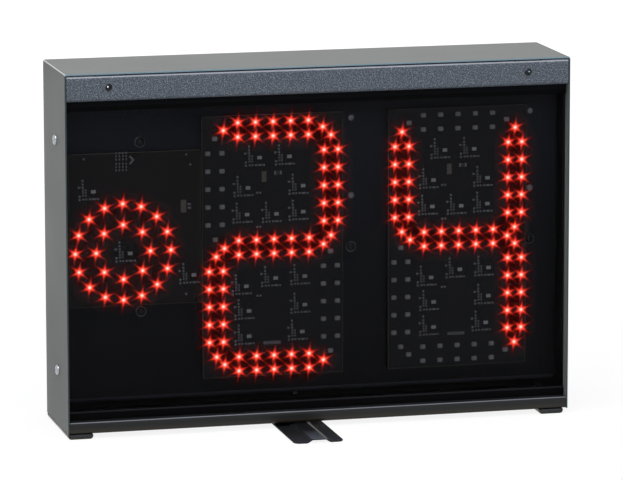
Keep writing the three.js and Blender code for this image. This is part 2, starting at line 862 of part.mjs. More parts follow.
// Control board: chips, headers and terminal blocks on its rear, one socket on its front
function controlBoard() {
  const rear = (x, z, width, height, depth) => block(x - width / 2, x + width / 2,
    controlBackY - thinSheet / 2, controlBackY + depth, z - height / 2, z + height / 2);
  const boardMiddleX = (controlLeftX + controlRightX) / 2;
  const boardMiddleZ = (controlBottomZ + controlTopZ) / 2;
  const socketFrontY = boardBackY + headerDepth + seatGap * 2;
  const added = [
    block(controlLeftX, controlRightX, controlFrontY, controlBackY, controlBottomZ, controlTopZ),
    rear(boardMiddleX, boardMiddleZ, chipWidth, chipWidth, chipDepth),
    rear(boardMiddleX + chipWidth * 2, boardMiddleZ, chipWidth, chipHeight, chipDepth),
    rear(boardMiddleX + chipWidth * 2, boardMiddleZ - chipWidth, chipWidth, chipHeight, chipDepth),
    rear(controlHeaderX, tensHeaderZ, headerAcross, headerUp, headerDepth),
    rear(controlHeaderX, ringHeaderZ, headerAcross, headerUp, headerDepth),
    rear(controlHeaderX, hornHeaderZ, headerAcross, headerAcross, headerDepth),
    rear(leadBlockX, controlBottomZ + leadBlockHeight / 2 + seatGap, leadBlockWidth, leadBlockHeight,
      leadBlockDepth),
    block(unitsMiddleX - headerAcross / 2, unitsMiddleX + headerAcross / 2, socketFrontY,
      controlFrontY + thinSheet / 2, unitsHeaderZ - headerUp / 2, unitsHeaderZ + headerUp / 2),
  ];
  const removed = postPlaces().map((place) => (
    hole(postPinRadius + shankClearance, at(place.x, controlFrontY, place.z), yAxis, thinSheet * 2)
  ));
  return carve(added, removed);
}

// A riveted post: its head shows on the panel's front, its shoulder carries the control board
function controlPost(place) {
  const front = panelFaceY - seatGap / 2;
  const out = yAxis;
  const start = at(place.x, front - postHeadHeight, place.z);
  const level = (y) => y - start.y;
  return turned([
    [0, 0],
    [postHeadRadius - postHeadHeight / 2, 0],
    [postHeadRadius, postHeadHeight / 2],
    [postHeadRadius, postHeadHeight],
    [shankRadius, postHeadHeight],
    [shankRadius, level(behindPanelY)],
    [postShoulderRadius, level(behindPanelY)],
    [postShoulderRadius, level(controlFrontY - seatGap)],
    [postPinRadius, level(controlFrontY - seatGap)],
    [postPinRadius, level(controlBackY + postPinReach)],
    [0, level(controlBackY + postPinReach)],
  ], start, out);
}

// A dome head screw on a washer, with a six-sided socket; it holds what hangs behind the panel
function domeScrew(place) {
  const out = toFront;
  const seat = at(place.x, panelFaceY - seatGap / 2, place.z);
  const domeBase = domeWasherThickness;
  const profile = [
    [0, -domeShankReach],
    [shankRadius, -domeShankReach],
    [shankRadius, 0],
    [domeWasherRadius, 0],
    [domeWasherRadius, domeBase],
    [domeHeadRadius, domeBase],
  ];
  for (let step = 1; step <= bendSteps; step += 1) {
    const angle = Math.PI / 2 * step / bendSteps;
    profile.push([domeHeadRadius * Math.cos(angle), domeBase + domeHeadHeight * Math.sin(angle)]);
  }
  profile.at(-1)[0] = 0;
  const top = seat.clone().addScaledVector(out, domeBase + domeHeadHeight);
  const socket = rod(domeSocketRadius, top.clone().addScaledVector(out, -domeSocketDepth),
    top.clone().addScaledVector(out, overrun), hexSides);
  return carve([turned(profile, seat, out)], [socket]);
}

// Power supply: a base with two ears and two end walls
function supplyChassis() {
  const endTop = supplyBackY - thinSheet - seatGap;
  const added = [
    block(supplyLeft - supplyEar, supplyRight + supplyEar, behindPanelY, behindPanelY + thinSheet,
      supplyBottom, supplyTop),
    block(supplyLeft, supplyLeft + thinSheet, behindPanelY, endTop, supplyBottom, supplyTop),
    block(supplyRight - thinSheet, supplyRight, behindPanelY, endTop, supplyBottom, supplyTop),
  ];
  const standoffs = supplyPillars().map(([x, z]) => (
    rod(pillarRadius, at(x, behindPanelY + thinSheet / 2, z), at(x, supplyBoardY - seatGap, z), holeSides)
  ));
  const removed = supplyScrewPlaces().map((place) => (
    hole(shankRadius + shankClearance, at(place.x, behindPanelY, place.z), yAxis, thinSheet * 2)
  ));
  return carve([...added, ...standoffs], removed);
}

function supplyBoardEdges() {
  const inset = thinSheet + supplyBoardMargin;
  return [supplyLeft + inset, supplyRight - inset, supplyBottom + inset, supplyTop - inset];
}

function supplyPillars() {
  const [left, right, low, high] = supplyBoardEdges();
  const inset = pillarRadius + thinSheet;
  return [left + inset, right - inset].flatMap((x) => [low + inset, high - inset].map((z) => [x, z]));
}

// Power supply board with transformer, capacitors, heat sink and two terminal blocks
function supplyBoard() {
  const [left, right, low, high] = supplyBoardEdges();
  const rearY = supplyBoardY + boardThickness;
  const roomDepth = supplyBackY - thinSheet - rearY;
  const middleZ = supplyMiddleZ;
  const third = (right - left) / 3;
  const part = (x, z, width, height, depth) => block(x - width / 2, x + width / 2,
    rearY - boardThickness / 2, rearY + depth, z - height / 2, z + height / 2);
  const capRadius = supplyBoardStandoff;
  const capX = right - third / 2;
  const capacitor = (z) => rod(capRadius, at(capX, rearY - boardThickness / 2, z),
    at(capX, rearY + roomDepth * supplyPartShare, z));
  return carve([
    block(left, right, supplyBoardY, rearY, low, high),
    part((left + right) / 2, middleZ, third * supplyPartShare, third * supplyPartShare,
      roomDepth * supplyPartShare),
    part((left + right) / 2 + third / 2, middleZ, thinSheet * 2, (high - low) * supplyPartShare,
      roomDepth * supplyPartShare),
    part(terminalX, low + terminalInset + terminalHeight / 2, terminalWidth, terminalHeight, terminalDepth),
    part(terminalX, high - terminalInset - terminalHeight / 2, terminalWidth, terminalHeight, terminalDepth),
    capacitor(middleZ - capRadius * 2),
    capacitor(middleZ + capRadius * 2),
  ]);
}

// Power supply cover: a folded sheet with vent slots over the live parts
function supplyCover() {
  const low = supplyBottom + thinSheet / 2;
  const high = supplyTop - thinSheet / 2;
  const frontEdge = behindPanelY + thinSheet + seatGap;
  const fold = foldedOutline([
    [frontEdge, low],
    [supplyBackY - thinSheet / 2, low],
    [supplyBackY - thinSheet / 2, high],
    [frontEdge, high],
  ], thinSheet);
  const from = supplyLeft + supplyCoverSetback;
  const to = supplyRight - thinSheet - seatGap;
  const pitch = (to - from) / (supplyVentCount + 1);
  const halfSlot = supplyHeight * supplyVentShare / 2;
  const removed = [];
  for (let index = 1; index <= supplyVentCount; index += 1) {
    const x = from + pitch * index;
    removed.push(block(x - supplyVentWidth / 2, x + supplyVentWidth / 2, supplyBackY - thinSheet - overrun,
      supplyBackY + overrun, supplyMiddleZ - halfSlot, supplyMiddleZ + halfSlot));
  }
  return carve([alongX(fold, from, to)], removed);
}

// Horn strap: a flat bar across the back of the panel
function hornStrap() {
  const reach = hornScrewSpan / 2 + hornStrapEnd;
  const added = [block(hornMiddleX - hornStrapWidth / 2, hornMiddleX + hornStrapWidth / 2, behindPanelY,
    behindPanelY + thinSheet, hornMiddleZ - reach, hornMiddleZ + reach)];
  const removed = hornScrewPlaces().map((place) => (
    hole(shankRadius + shankClearance, at(place.x, behindPanelY, place.z), yAxis, thinSheet * 2)
  ));
  return carve(added, removed);
}

// Horn: a drum with a flared mouth towards the rear cover and a small terminal block
function hornBody() {
  const start = at(hornMiddleX, behindPanelY + thinSheet + seatGap, hornMiddleZ);
  const rimStart = hornLength - hornRimThickness;
  const flareDepth = hornLength - hornBackLength;
  const body = turned([
    [0, 0],
    [hornBackRadius, 0],
    [hornBackRadius, hornBackLength],
    [hornRimRadius, rimStart],
    [hornRimRadius, hornLength],
    [hornRimRadius - hornRimThickness, hornLength],
    [hornThroatRadius, hornLength - flareDepth],
    [0, hornLength - flareDepth],
  ], start, yAxis, roundSides);
  const terminalLow = start.x + hornBackRadius - hornTerminal / 2;
  const terminal = block(terminalLow, terminalLow + hornTerminal, start.y + hornTerminal,
    start.y + hornTerminal * 2, hornMiddleZ - hornTerminal, hornMiddleZ + hornTerminal);
  return carve([body, terminal]);
}

const hornTerminalX = hornMiddleX + hornBackRadius + hornTerminal / 2;
const hornTerminalY = behindPanelY + thinSheet + seatGap + hornTerminal * 1.5;

// Rear cover with cut-outs for the inlet and sockets, keyholes, vents and horn slots
function rearCover() {
  const through = (x0, x1, z0, z1) => block(x0, x1, coverFrontY - overrun, backY + overrun, z0, z1);
  const round = (radius, x, z, sides) => hole(radius, at(x, backY, z), yAxis, thinSheet * 2, sides);
  const outline = roundedRectangle(-fittedHalfWidth, fittedHalfWidth, caseBottom, coverTop,
    bendInsideRadius - seatGap);
  const added = [alongY(outline, coverFrontY, backY)];
  const bodyHalfWidth = inletBodyWidth / 2 + seatGap;
  const bodyHalfHeight = inletBodyHeight / 2 + seatGap;
  const removed = [
    through(inletX - bodyHalfWidth, inletX + bodyHalfWidth, inletZ - bodyHalfHeight, inletZ + bodyHalfHeight),
    round(socketBarrelRadius + seatGap, socketInX, socketZ, roundSides),
    round(socketBarrelRadius + seatGap, socketOutX, socketZ, roundSides),
  ];
  const keyholeZ = caseTop - keyholeDrop;
  for (const side of [-1, 1]) {
    const x = side * keyholeX;
    removed.push(round(keyholeRadius, x, keyholeZ, headSides));
    removed.push(through(x - keyholeSlotWidth / 2, x + keyholeSlotWidth / 2, keyholeZ,
      keyholeZ + keyholeSlotRise));
  }
  const ventMiddleX = (postLeftX + postRightX) / 2;
  for (let index = 0; index < ventSlotCount; index += 1) {
    const x = ventMiddleX + (index - (ventSlotCount - 1) / 2) * ventSlotPitch;
    removed.push(through(x - ventSlotWidth / 2, x + ventSlotWidth / 2, ventRowZ - ventSlotHeight / 2,
      ventRowZ + ventSlotHeight / 2));
  }
  for (let index = 0; index < hornSlotCount; index += 1) {
    const rise = (index - (hornSlotCount - 1) / 2) * hornSlotPitch;
    const reach = Math.sqrt(hornRimRadius ** 2 - rise ** 2);
    removed.push(through(hornMiddleX - reach, hornMiddleX + reach, hornMiddleZ + rise - hornSlotWidth / 2,
      hornMiddleZ + rise + hornSlotWidth / 2));
  }
  for (const place of coverScrewPlaces()) {
    removed.push(round(shankRadius + shankClearance, place.x, place.z));
  }
  return carve(added, removed);
}

// Power inlet: flange, body, plug recess with three blades, drawer slot and rocker pocket
function powerInlet() {
  const flangeBack = backY + seatGap / 2;
  const bodyFront = inletFaceY - inletBodyDepth;
  const added = [
    block(inletX - inletFlangeWidth / 2, inletX + inletFlangeWidth / 2, flangeBack, inletFaceY,
      inletZ - inletFlangeHeight / 2, inletZ + inletFlangeHeight / 2),
    block(inletX - inletBodyWidth / 2, inletX + inletBodyWidth / 2, bodyFront, flangeBack + seatGap,
      inletZ - inletBodyHeight / 2, inletZ + inletBodyHeight / 2),
  ];
  const plugLeft = inletX - plugWidth / 2;
  const plugRight = inletX + plugWidth / 2;
  const plugLow = plugZ - plugHeight / 2;
  const plugHigh = plugZ + plugHeight / 2;
  const recess = polygon([
    [plugLeft, plugLow],
    [plugRight, plugLow],
    [plugRight, plugHigh - plugChamfer],
    [plugRight - plugChamfer, plugHigh],
    [plugLeft + plugChamfer, plugHigh],
    [plugLeft, plugHigh - plugChamfer],
  ]);
  const drawerHalfWidth = drawerWidth / 2 + runningGap;
  const drawerHalfHeight = drawerHeight / 2 + runningGap;
  const pocketHalfWidth = rockerWidth / 2 + runningGap;
  const removed = [
    alongY(recess, inletFaceY - plugDepth, inletFaceY + overrun),
    block(inletX - drawerHalfWidth, inletX + drawerHalfWidth, inletFaceY - drawerDepth - runningGap,
      inletFaceY + overrun, drawerZ - drawerHalfHeight, drawerZ + drawerHalfHeight),
    block(inletX - pocketHalfWidth, inletX + pocketHalfWidth, inletFaceY - rockerPocketDepth,
      inletFaceY + overrun, rockerZ - rockerPocketHeight / 2,
      rockerZ + rockerPocketHeight / 2),
  ];
  const bladePlaces = [[-bladeSpacing, -bladeOffset], [0, bladeOffset], [bladeSpacing, -bladeOffset]];
  const blades = bladePlaces.map(([x, z]) => (
    block(inletX + x - bladeWidth / 2, inletX + x + bladeWidth / 2, inletFaceY - plugDepth - overrun,
      inletFaceY - plugDepth + bladeLength, plugZ + z - bladeHeight / 2, plugZ + z + bladeHeight / 2)
  ));
  return carve([carve(added, removed), ...blades]);
}

// Fuse drawer with a small grip on its face
function fuseDrawer() {
  return carve([
    block(inletX - drawerWidth / 2, inletX + drawerWidth / 2, inletFaceY - drawerDepth, inletFaceY,
      drawerZ - drawerHeight / 2, drawerZ + drawerHeight / 2),
    block(inletX - drawerWidth / 2, inletX + drawerWidth / 2, inletFaceY - drawerGripHeight,
      inletFaceY + drawerGripReach, drawerZ + drawerHeight / 2 - drawerGripHeight,
      drawerZ + drawerHeight / 2),
  ]);
}

// Rocker in its on position, as an outline about its pivot
function powerRocker() {
  const outline = polygon([
    [-rockerRoot, -rockerRoot],
    [-rockerShoulder, -rockerHeight / 2],
    [rockerEdge, -rockerHeight / 2],
    [rockerCrown, 0],
    [rockerEdge, rockerHeight / 2],
    [-rockerShoulder, rockerHeight / 2],
    [-rockerRoot, rockerRoot],
  ]);
  const geometry = alongX(outline, -rockerWidth / 2, rockerWidth / 2);
  return geometry.rotateX(rockerTilt);
}

// Round data socket: square flange, barrel with a bore and its pins
function dataSocket(x) {
  const flangeBack = backY + seatGap / 2;
  const faceY = backY + socketFlangeThickness;
  const half = socketFlange / 2;
  const middle = at(x, faceY, socketZ);
  const added = [
    alongY(roundedRectangle(x - half, x + half, socketZ - half, socketZ + half, socketFlangeCorner),
      flangeBack, faceY),
    rod(socketBarrelRadius, at(x, faceY - socketDepth, socketZ), at(x, faceY - seatGap, socketZ), roundSides),
    rod(socketBoreRadius + socketCollar, at(x, flangeBack, socketZ), at(x, faceY + seatGap * 2, socketZ),
      roundSides),
  ];
  const bore = rod(socketBoreRadius, at(x, faceY - socketBoreDepth, socketZ),
    at(x, faceY + overrun, socketZ), roundSides);
  const pins = [];
  for (let index = 0; index < socketPinCount; index += 1) {
    const angle = Math.PI + socketPinArc * index / (socketPinCount - 1);
    const pinX = middle.x + Math.cos(angle) * socketPinCircle;
    const pinZ = middle.z + Math.sin(angle) * socketPinCircle;
    pins.push(rod(socketPinRadius, at(pinX, faceY - socketBoreDepth - overrun, pinZ),
      at(pinX, faceY - socketBoreDepth + socketPinLength, pinZ), hexSides));
  }
  return carve([carve(added, [bore]), ...pins]);
}

// Foot channel: a shallow folded channel with its web on the ground
const leftFootX = -halfWidth + footChannelWidth / 2;
const rightFootX = halfWidth - footChannelInset - footChannelWidth / 2;

function footChannel(middleX) {
  const legX = footChannelWidth / 2 - thinSheet / 2;
  const fold = foldedOutline([
    [middleX - legX, footTop],
    [middleX - legX, thinSheet / 2],
    [middleX + legX, thinSheet / 2],
    [middleX + legX, footTop],
  ], thinSheet);
  const removed = footScrewPlaces(middleX).map((place) => (
    countersink(place, toGround, footScrewHeadRadius, shankRadius, thinSheet * 2)
  ));
  return carve([alongY(fold, frontY, frontY + footLength)], removed);
}

// Swivel foot: a strip with a pressed crown and its brims on the ground. It reaches out in front and
// behind, or turns in under the case.
function swivelFoot() {
  const brimZ = thinSheet / 2;
  const crownZ = footTop - thinSheet / 2;
  const crownX = swivelCrownWidth / 2;
  const wallX = crownX + swivelWallRun;
  const edgeX = swivelFootWidth / 2;
  const fold = foldedOutline([
    [-edgeX, brimZ],
    [-wallX, brimZ],
    [-crownX, crownZ],
    [crownX, crownZ],
    [wallX, brimZ],
    [edgeX, brimZ],
  ], thinSheet);
  const halfLength = swivelFootLength / 2;
  const strip = solidOf(alongY(fold, -halfLength, halfLength));
  const plan = roundedRectangle(-edgeX, edgeX, -halfLength, halfLength, swivelCornerRadius);
  const rounded = strip.intersect(solidOf(alongZ(plan, -overrun, footHeight + overrun)));
  const seat = hole(swivelRivetRadius + shankClearance, at(0, 0, crownZ), zAxis, footHeight);
  return geometryOf(rounded.subtract(solidOf(seat)));
}

// The rivet that the swivel foot turns on, with its head under the crown and its nut inside the tray
function swivelRivet() {
  const headTop = footTop - thinSheet - seatGap;
  const trayTop = caseBottom + thinSheet + seatGap;
  const nutTop = trayTop + swivelNutHeight;
  return turned([
    [0, headTop - swivelRivetHeadHeight],
    [swivelRivetHead, headTop - swivelRivetHeadHeight],
    [swivelRivetHead, headTop],
    [swivelRivetRadius, headTop],
    [swivelRivetRadius, trayTop],
    [swivelNutRadius, trayTop],
    [swivelNutRadius, nutTop],
    [0, nutTop],
  ], at(swivelFootX, 0, 0), zAxis);
}

// A round lead: it leaves each end straight along a direction and runs smoothly through its points
function lead(start, startDirection, middle, endDirection, end, radius) {
  const stub = radius * leadStubShare;
  const path = new THREE.CatmullRomCurve3([
    start,
    start.clone().addScaledVector(startDirection, stub),
    ...middle,
    end.clone().addScaledVector(endDirection, stub),
    end,
  ], false, 'centripetal');
  const outline = new THREE.Shape();
  for (let index = 0; index < leadSides; index += 1) {
    const angle = Math.PI * 2 * index / leadSides;
    const u = Math.cos(angle) * radius;
    const v = Math.sin(angle) * radius;
    if (index === 0) {
      outline.moveTo(u, v);
    } else {
      outline.lineTo(u, v);
    }
  }
  const steps = Math.ceil(path.getLength() / (radius * 2 * leadStepShare));
  return new THREE.ExtrudeGeometry(outline, { steps, extrudePath: path, bevelEnabled: false });
}

// Points between two ends, each as shares of the way from one to the other along x, y and z
function between(start, end, shares) {
  const way = end.clone().sub(start);
  return shares.map(([x, y, z]) => at(x, y, z).multiply(way).add(start));
}

// A flat ribbon on edge: from the control board's header, along behind the panel, into a board's header
function ribbon(targetX, middleZ) {
  const startX = controlHeaderX - headerAcross / 2 - seatGap;
  const runY = controlBackY + headerDepth / 2;
  const fold = foldedOutline([
    [startX, runY],
    [targetX, runY],
    [targetX, boardBackY + headerDepth + seatGap],
  ], ribbonThickness, ribbonBend);
  return alongZ(fold, middleZ - ribbonWidth / 2, middleZ + ribbonWidth / 2);
}

// Ends of the leads, at the pieces that they join
const terminalY = supplyBoardY + boardThickness + terminalDepth / 2;
const terminalLowZ = supplyBottom + thinSheet + supplyBoardMargin + terminalInset - seatGap;
const terminalHighZ = supplyTop - thinSheet - supplyBoardMargin - terminalInset + seatGap;
const leadBlockY = controlBackY + leadBlockDepth / 2;
const socketBackY = backY + socketFlangeThickness - socketDepth - seatGap;
const socketLeadOffset = 4;

// Routes of the leads, as shares of the way between their ends
const mainsLeadShares = [[0.11, 0.61, 0.14], [0.57, 0.93, 0.52], [0.91, 1, 0.72]];
const dataLeadShares = [
  [0.47, 0.24, 0.13],
  [1.18, 0.35, 0.42],
  [1.35, 0.44, 0.74],
  [1.41, 0.75, 0.9],
  [1.24, 0.95, 0.95],
];
const hornLeadShares = [[0.18, 0.11, 0.13], [0.49, 0.34, 0.62], [0.8, 0.8, 0.94]];

function mainsLead() {
  const start = at(inletX, inletFaceY - inletBodyDepth - seatGap, inletZ);
  const end = at(terminalX, terminalY, terminalLowZ);
  const middle = between(start, end, mainsLeadShares);
  return lead(start, toFront, middle, toGround, end, mainsLeadRadius);
}

function supplyLead() {
  const start = at(terminalX, terminalY, terminalHighZ);
  const end = at(leadBlockX + leadBlockSpread, leadBlockY, controlBottomZ);
  return lead(start, zAxis, [], toGround, end, thinLeadRadius);
}

function dataLead() {
  const start = at(socketInX, socketBackY, socketZ + socketLeadOffset);
  const end = at(leadBlockX - leadBlockSpread, leadBlockY, controlBottomZ);
  const middle = between(start, end, dataLeadShares);
  return lead(start, toFront, middle, toGround, end, thinLeadRadius);
}

function dataLinkLead() {
  const start = at(socketInX, socketBackY, socketZ - socketLeadOffset);
  const end = at(socketOutX, socketBackY, socketZ - socketLeadOffset);
  const middle = at((start.x + end.x) / 2, socketBackY - linkLeadBow, start.z);
  return lead(start, toFront, [middle], toFront, end, thinLeadRadius);
}

function hornLead() {
  const start = at(controlHeaderX - headerAcross / 2 - seatGap, controlBackY + headerDepth / 2, hornHeaderZ);
  const end = at(hornTerminalX + seatGap, hornTerminalY, hornMiddleZ);
  const middle = between(start, end, hornLeadShares);
  return lead(start, toLeft, middle, xAxis, end, thinLeadRadius);
}

// Materials
function finish(color, roughness, metalness, more = {}) {
  return new THREE.MeshStandardMaterial({ color, roughness, metalness, ...more });
}

const greyPaint = finish(0x7d8082, 0.5, 0.1);
const hammerPaint = finish(0x565e6b, 0.4, 0.2);
const trayPaint = finish(0x3c3d3e, 0.35, 0.1);
const blackPaint = finish(0x14161a, 0.5, 0.1);
const bareSteel = finish(0xb9bcc0, 0.35, 0.9);
const darkSteel = finish(0x2a2c30, 0.4, 0.7);
const smokedSheet = finish(0x16161a, 0.1, 0, { transparent: true, opacity: 0.45 });
const blackPlastic = finish(0x17171a, 0.5, 0);
const boardLacquer = finish(0x101512, 0.45, 0);
const blackSheath = finish(0x1c1c1e, 0.6, 0);
const greyRibbon = finish(0x9a9ca0, 0.6, 0);

const shotClock = new THREE.Group();

function place(name, geometry, material, position = at(0, 0, 0)) {
  const mesh = new THREE.Mesh(geometry, material);
  mesh.name = name;
  mesh.position.copy(position);
  shotClock.add(mesh);
}

// Case and front
place('case_shell', caseShell(), greyPaint);
place('bottom_tray', bottomTray(), trayPaint);
place('top_front_rail', topFrontRail(), hammerPaint);
place('rear_cover', rearCover(), greyPaint);
place('window_top_channel', windowChannel(topChannelWeb, topChannelWeb - topChannelHeight), blackPlastic);
place('window_bottom_channel', windowChannel(bottomChannelWeb, bottomChannelWeb + bottomChannelHeight),
  blackPlastic);
place('smoked_window', smokedWindow(), smokedSheet);

// Feet
place('left_foot_channel', footChannel(leftFootX), greyPaint);
place('right_foot_channel', footChannel(rightFootX), greyPaint);
place('swivel_foot', swivelFoot(), hammerPaint, at(swivelFootX, 0, 0));
place('swivel_foot_rivet', swivelRivet(), bareSteel);

// Display
place('display_panel', displayPanel(), blackPaint);
place('left_panel_bracket', panelBracket(-1), bareSteel);
place('right_panel_bracket', panelBracket(1), bareSteel);
place('ring_board', ringBoard(), boardLacquer);
place('tens_board', digitBoard(tensMiddleX, tensHeaderZ), boardLacquer);
place('units_board', digitBoard(unitsMiddleX, unitsHeaderZ), boardLacquer);

// Electronics behind the panel
place('control_board', controlBoard(), boardLacquer);
place('power_supply_chassis', supplyChassis(), bareSteel);
place('power_supply_board', supplyBoard(), boardLacquer);
place('power_supply_cover', supplyCover(), bareSteel);
place('horn_strap', hornStrap(), bareSteel);
place('horn', hornBody(), blackPlastic);
place('power_inlet', powerInlet(), blackPlastic);
place('fuse_drawer', fuseDrawer(), blackPlastic);
place('power_rocker', powerRocker(), blackPlastic, at(inletX, rockerY, rockerZ));
place('data_socket_in', dataSocket(socketInX), darkSteel);
place('data_socket_out', dataSocket(socketOutX), darkSteel);

// Leads and ribbons
place('mains_lead', mainsLead(), blackSheath);
place('supply_lead', supplyLead(), blackSheath);
place('data_lead', dataLead(), blackSheath);
place('data_link_lead', dataLinkLead(), blackSheath);
place('horn_lead', hornLead(), blackSheath);
place('tens_ribbon', ribbon(tensMiddleX, tensHeaderZ), greyRibbon);
place('ring_ribbon', ribbon(ringHeaderX, ringHeaderZ), greyRibbon);

// Fasteners
function placeFasteners() {
  for (const [name, side] of [['left', -1], ['right', 1]]) {
    place(`${name}_rail_screw`, countersunkScrew(at(side * railScrewX, frontY, railScrewZ), toFront,
      railScrewHeadRadius, railScrewShank, railScrewLength), darkSteel);
    for (const [level, z] of [['lower', sideScrewLowerZ], ['upper', sideScrewUpperZ]]) {
      place(`${name}_side_screw_${level}`, panScrew(at(side * halfWidth, sideScrewY, z),
        xAxis.clone().multiplyScalar(side), sideScrewLength), bareSteel);
    }
  }
  for (const [index, spot] of coverScrewPlaces().entries()) {
    place(`rear_cover_screw_${index + 1}`, panScrew(spot, yAxis, coverScrewLength), bareSteel);
  }
  const feet = [...footScrewPlaces(leftFootX), ...footScrewPlaces(rightFootX)];
  for (const [index, spot] of feet.entries()) {
    place(`foot_screw_${index + 1}`, countersunkScrew(spot, toGround, footScrewHeadRadius, shankRadius,
      footScrewLength), bareSteel);
  }
  for (const [index, spot] of postPlaces().entries()) {
    place(`control_board_post_${index + 1}`, controlPost(spot), bareSteel);
  }
  for (const [index, spot] of supplyScrewPlaces().entries()) {
    place(`power_supply_screw_${index + 1}`, domeScrew(spot), darkSteel);
  }
  for (const [index, spot] of hornScrewPlaces().entries()) {
    place(`horn_screw_${index + 1}`, domeScrew(spot), darkSteel);
  }
}

placeFasteners();

export default shotClock;
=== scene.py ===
"""Shot clock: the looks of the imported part, laid out as an add-on and run as a script."""

import math

import bmesh
import bpy
from mathutils import Matrix, Vector


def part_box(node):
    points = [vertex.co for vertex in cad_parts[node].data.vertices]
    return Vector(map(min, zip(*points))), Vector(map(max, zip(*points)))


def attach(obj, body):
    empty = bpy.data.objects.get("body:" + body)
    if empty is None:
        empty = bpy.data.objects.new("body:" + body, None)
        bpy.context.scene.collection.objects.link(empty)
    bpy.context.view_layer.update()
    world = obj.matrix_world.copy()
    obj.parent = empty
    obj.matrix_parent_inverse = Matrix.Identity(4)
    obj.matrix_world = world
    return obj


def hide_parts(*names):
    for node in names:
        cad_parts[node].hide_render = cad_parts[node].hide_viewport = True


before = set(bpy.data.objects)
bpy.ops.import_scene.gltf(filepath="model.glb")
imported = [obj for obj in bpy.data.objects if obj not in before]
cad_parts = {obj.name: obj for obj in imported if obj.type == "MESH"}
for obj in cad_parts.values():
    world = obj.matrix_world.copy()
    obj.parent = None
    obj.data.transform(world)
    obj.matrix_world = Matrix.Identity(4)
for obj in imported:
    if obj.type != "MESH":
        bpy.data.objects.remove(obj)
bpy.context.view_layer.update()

bl_info = {
    "name": "Shot clock",
    "version": (1, 0, 0),
    "blender": (4, 5, 0),
    "location": "View3D > Sidebar > Shot clock",
    "description": "Dresses the packed shot clock: painted case, smoked window, LED boards, rear fittings",
    "category": "Object",
}

# Lengths are written in millimetres and turned to metres with this
mm = 0.001

# The case's sheet, the outer face of its rear cover, and the floor of the data sockets' bores behind it
sheet = 1.5
rear_face = 52.5
bore_floor = 41.6
to_front, to_back = (0, -1, 0), (0, 1, 0)

# Seven segments: shares of the segment span across and up from the digit's middle, and whether it lies flat
segment_shares = {"a": (0, 1, True), "b": (0.5, 0.5, False), "c": (0.5, -0.5, False), "d": (0, -1, True),
                  "e": (-0.5, -0.5, False), "f": (-0.5, 0.5, False), "g": (0, 0, True)}
lit_segments = ("abcdef", "bc", "abged", "abgcd", "fgbc", "afgcd", "afgedc", "abc", "abcdefg", "abcdfg")

# Drivers of a digit board, across and up from its middle
driver_places = ((-12.5, 83), (16, 83), (-23.5, 55), (29, 55), (-24.5, 30), (3.5, 29.5), (29, 30.5),
                 (-25.5, -37.5), (2.5, -31), (30.5, -30.5), (-23, -61), (30.5, -57.5), (-23, -85), (28, -83))

# Resistors of one driver: across and up from it, length, width, and whether it stands upright
driver_resistors = ((-10, 8.9, 5.0, 1.5, True), (-11.7, 4.2, 5.2, 1.6, False),
                    (-12.9, -5.6, 4.6, 1.7, True), (-8.0, -6.9, 4.2, 1.4, False),
                    (-1.9, -6.9, 4.2, 1.4, False), (2.8, -6.9, 4.2, 1.4, False))

# Uneven patches of a finish: their width in millimetres, detail, tones, and how much smoother and rougher
plain, spangled = (3, 3, (0.9, 1.08), (-0.06, 0.08)), (7, 1, (0.86, 1.05), (-0.06, 0.1))
turned_bright, oiled = (1.2, 3, None, (-0.04, 0.1)), (1.5, 3, (0.8, 1.1), (-0.08, 0.06))

# Finishes of small parts, with what each gives the eye: colour, roughness, the IOR or None for a metal, and
# patches, which are plain where none are given
small_finishes = {
    # Zinc plated steel: dull silver with soft spangle, and darker for the posts on the panel
    "zinc_plated_steel": ("#b9bdc2", 0.36, None, spangled),
    "darker_zinc_plate": ("#6c6d70", 0.36, None, spangled),
    "dark_zinc_plate": ("#66706f", 0.36, None, (7, 1, (0.2, 1.3), (-0.06, 0.1))),
    # Die-cast zinc, nickel plated: satin silver
    "satin_nickel_die_cast": ("#a9abad", 0.36, None, spangled),
    # Nickel plated screws and pins: bright, with fine turning marks
    "nickel_plated_steel": ("#a3a8ae", 0.16, None, turned_bright),
    # Bright steel for a painted glint in a rail screw's recess
    "rubbed_bright_steel": ("#e8e8e6", 0.16, None, turned_bright),
    # Black oxide on steel: dark grey, oily satin
    "blackened_steel": ("#303134", 0.34, None, oiled),
    # Woven glass in epoxy resin, sawn: a dull olive edge
    "glass_epoxy": ("#55523f", 0.6, 1.55),
    # Hot-dipped tin on copper: soft grey metal
    "tinned_copper": ("#7b7d81", 0.5, None),
    # Moulded polyamide round an LED's cup: pale grey and dull
    "reflector_plastic": ("#909294", 0.5, 1.5),
    # Silicone cast in an LED's cup: smooth and a little cloudy
    "clear_silicone": ("#a2a5a4", 0.25, 1.41),
    # Epoxy moulded round a chip: satin black
    "moulded_epoxy": ("#1a1b1e", 0.5, 1.55),
    # Fired ceramic of a chip capacitor: pale satin grey
    "ceramic_chip": ("#a3a6a8", 0.45, 1.6),
    # Epoxy moulded round a tantalum capacitor: dull olive brown
    "tantalum_case": ("#5d5b50", 0.45, 1.55),
    # Moulded nylon of a header's shroud: satin black
    "header_nylon": ("#1b1c1f", 0.5, 1.53),
    # Green solder mask screened over a power board: silky
    "solder_mask_green": ("#1f4a33", 0.4, 1.5),
    # Extruded soft PVC round a lead: satin black
    "pvc_sheath": ("#1b1b1d", 0.5, 1.53),
    # Extruded PVC of a flat cable: pale satin grey
    "pvc_ribbon": ("#9b9da1", 0.5, 1.53),
    # Gold plate on a contact: smooth and yellow
    "gold_plate": ("#d2a455", 0.25, None),
    # Rolled aluminium, etched and anodised: matt silver
    "anodised_aluminium": ("#b4b6b8", 0.42, None),
}


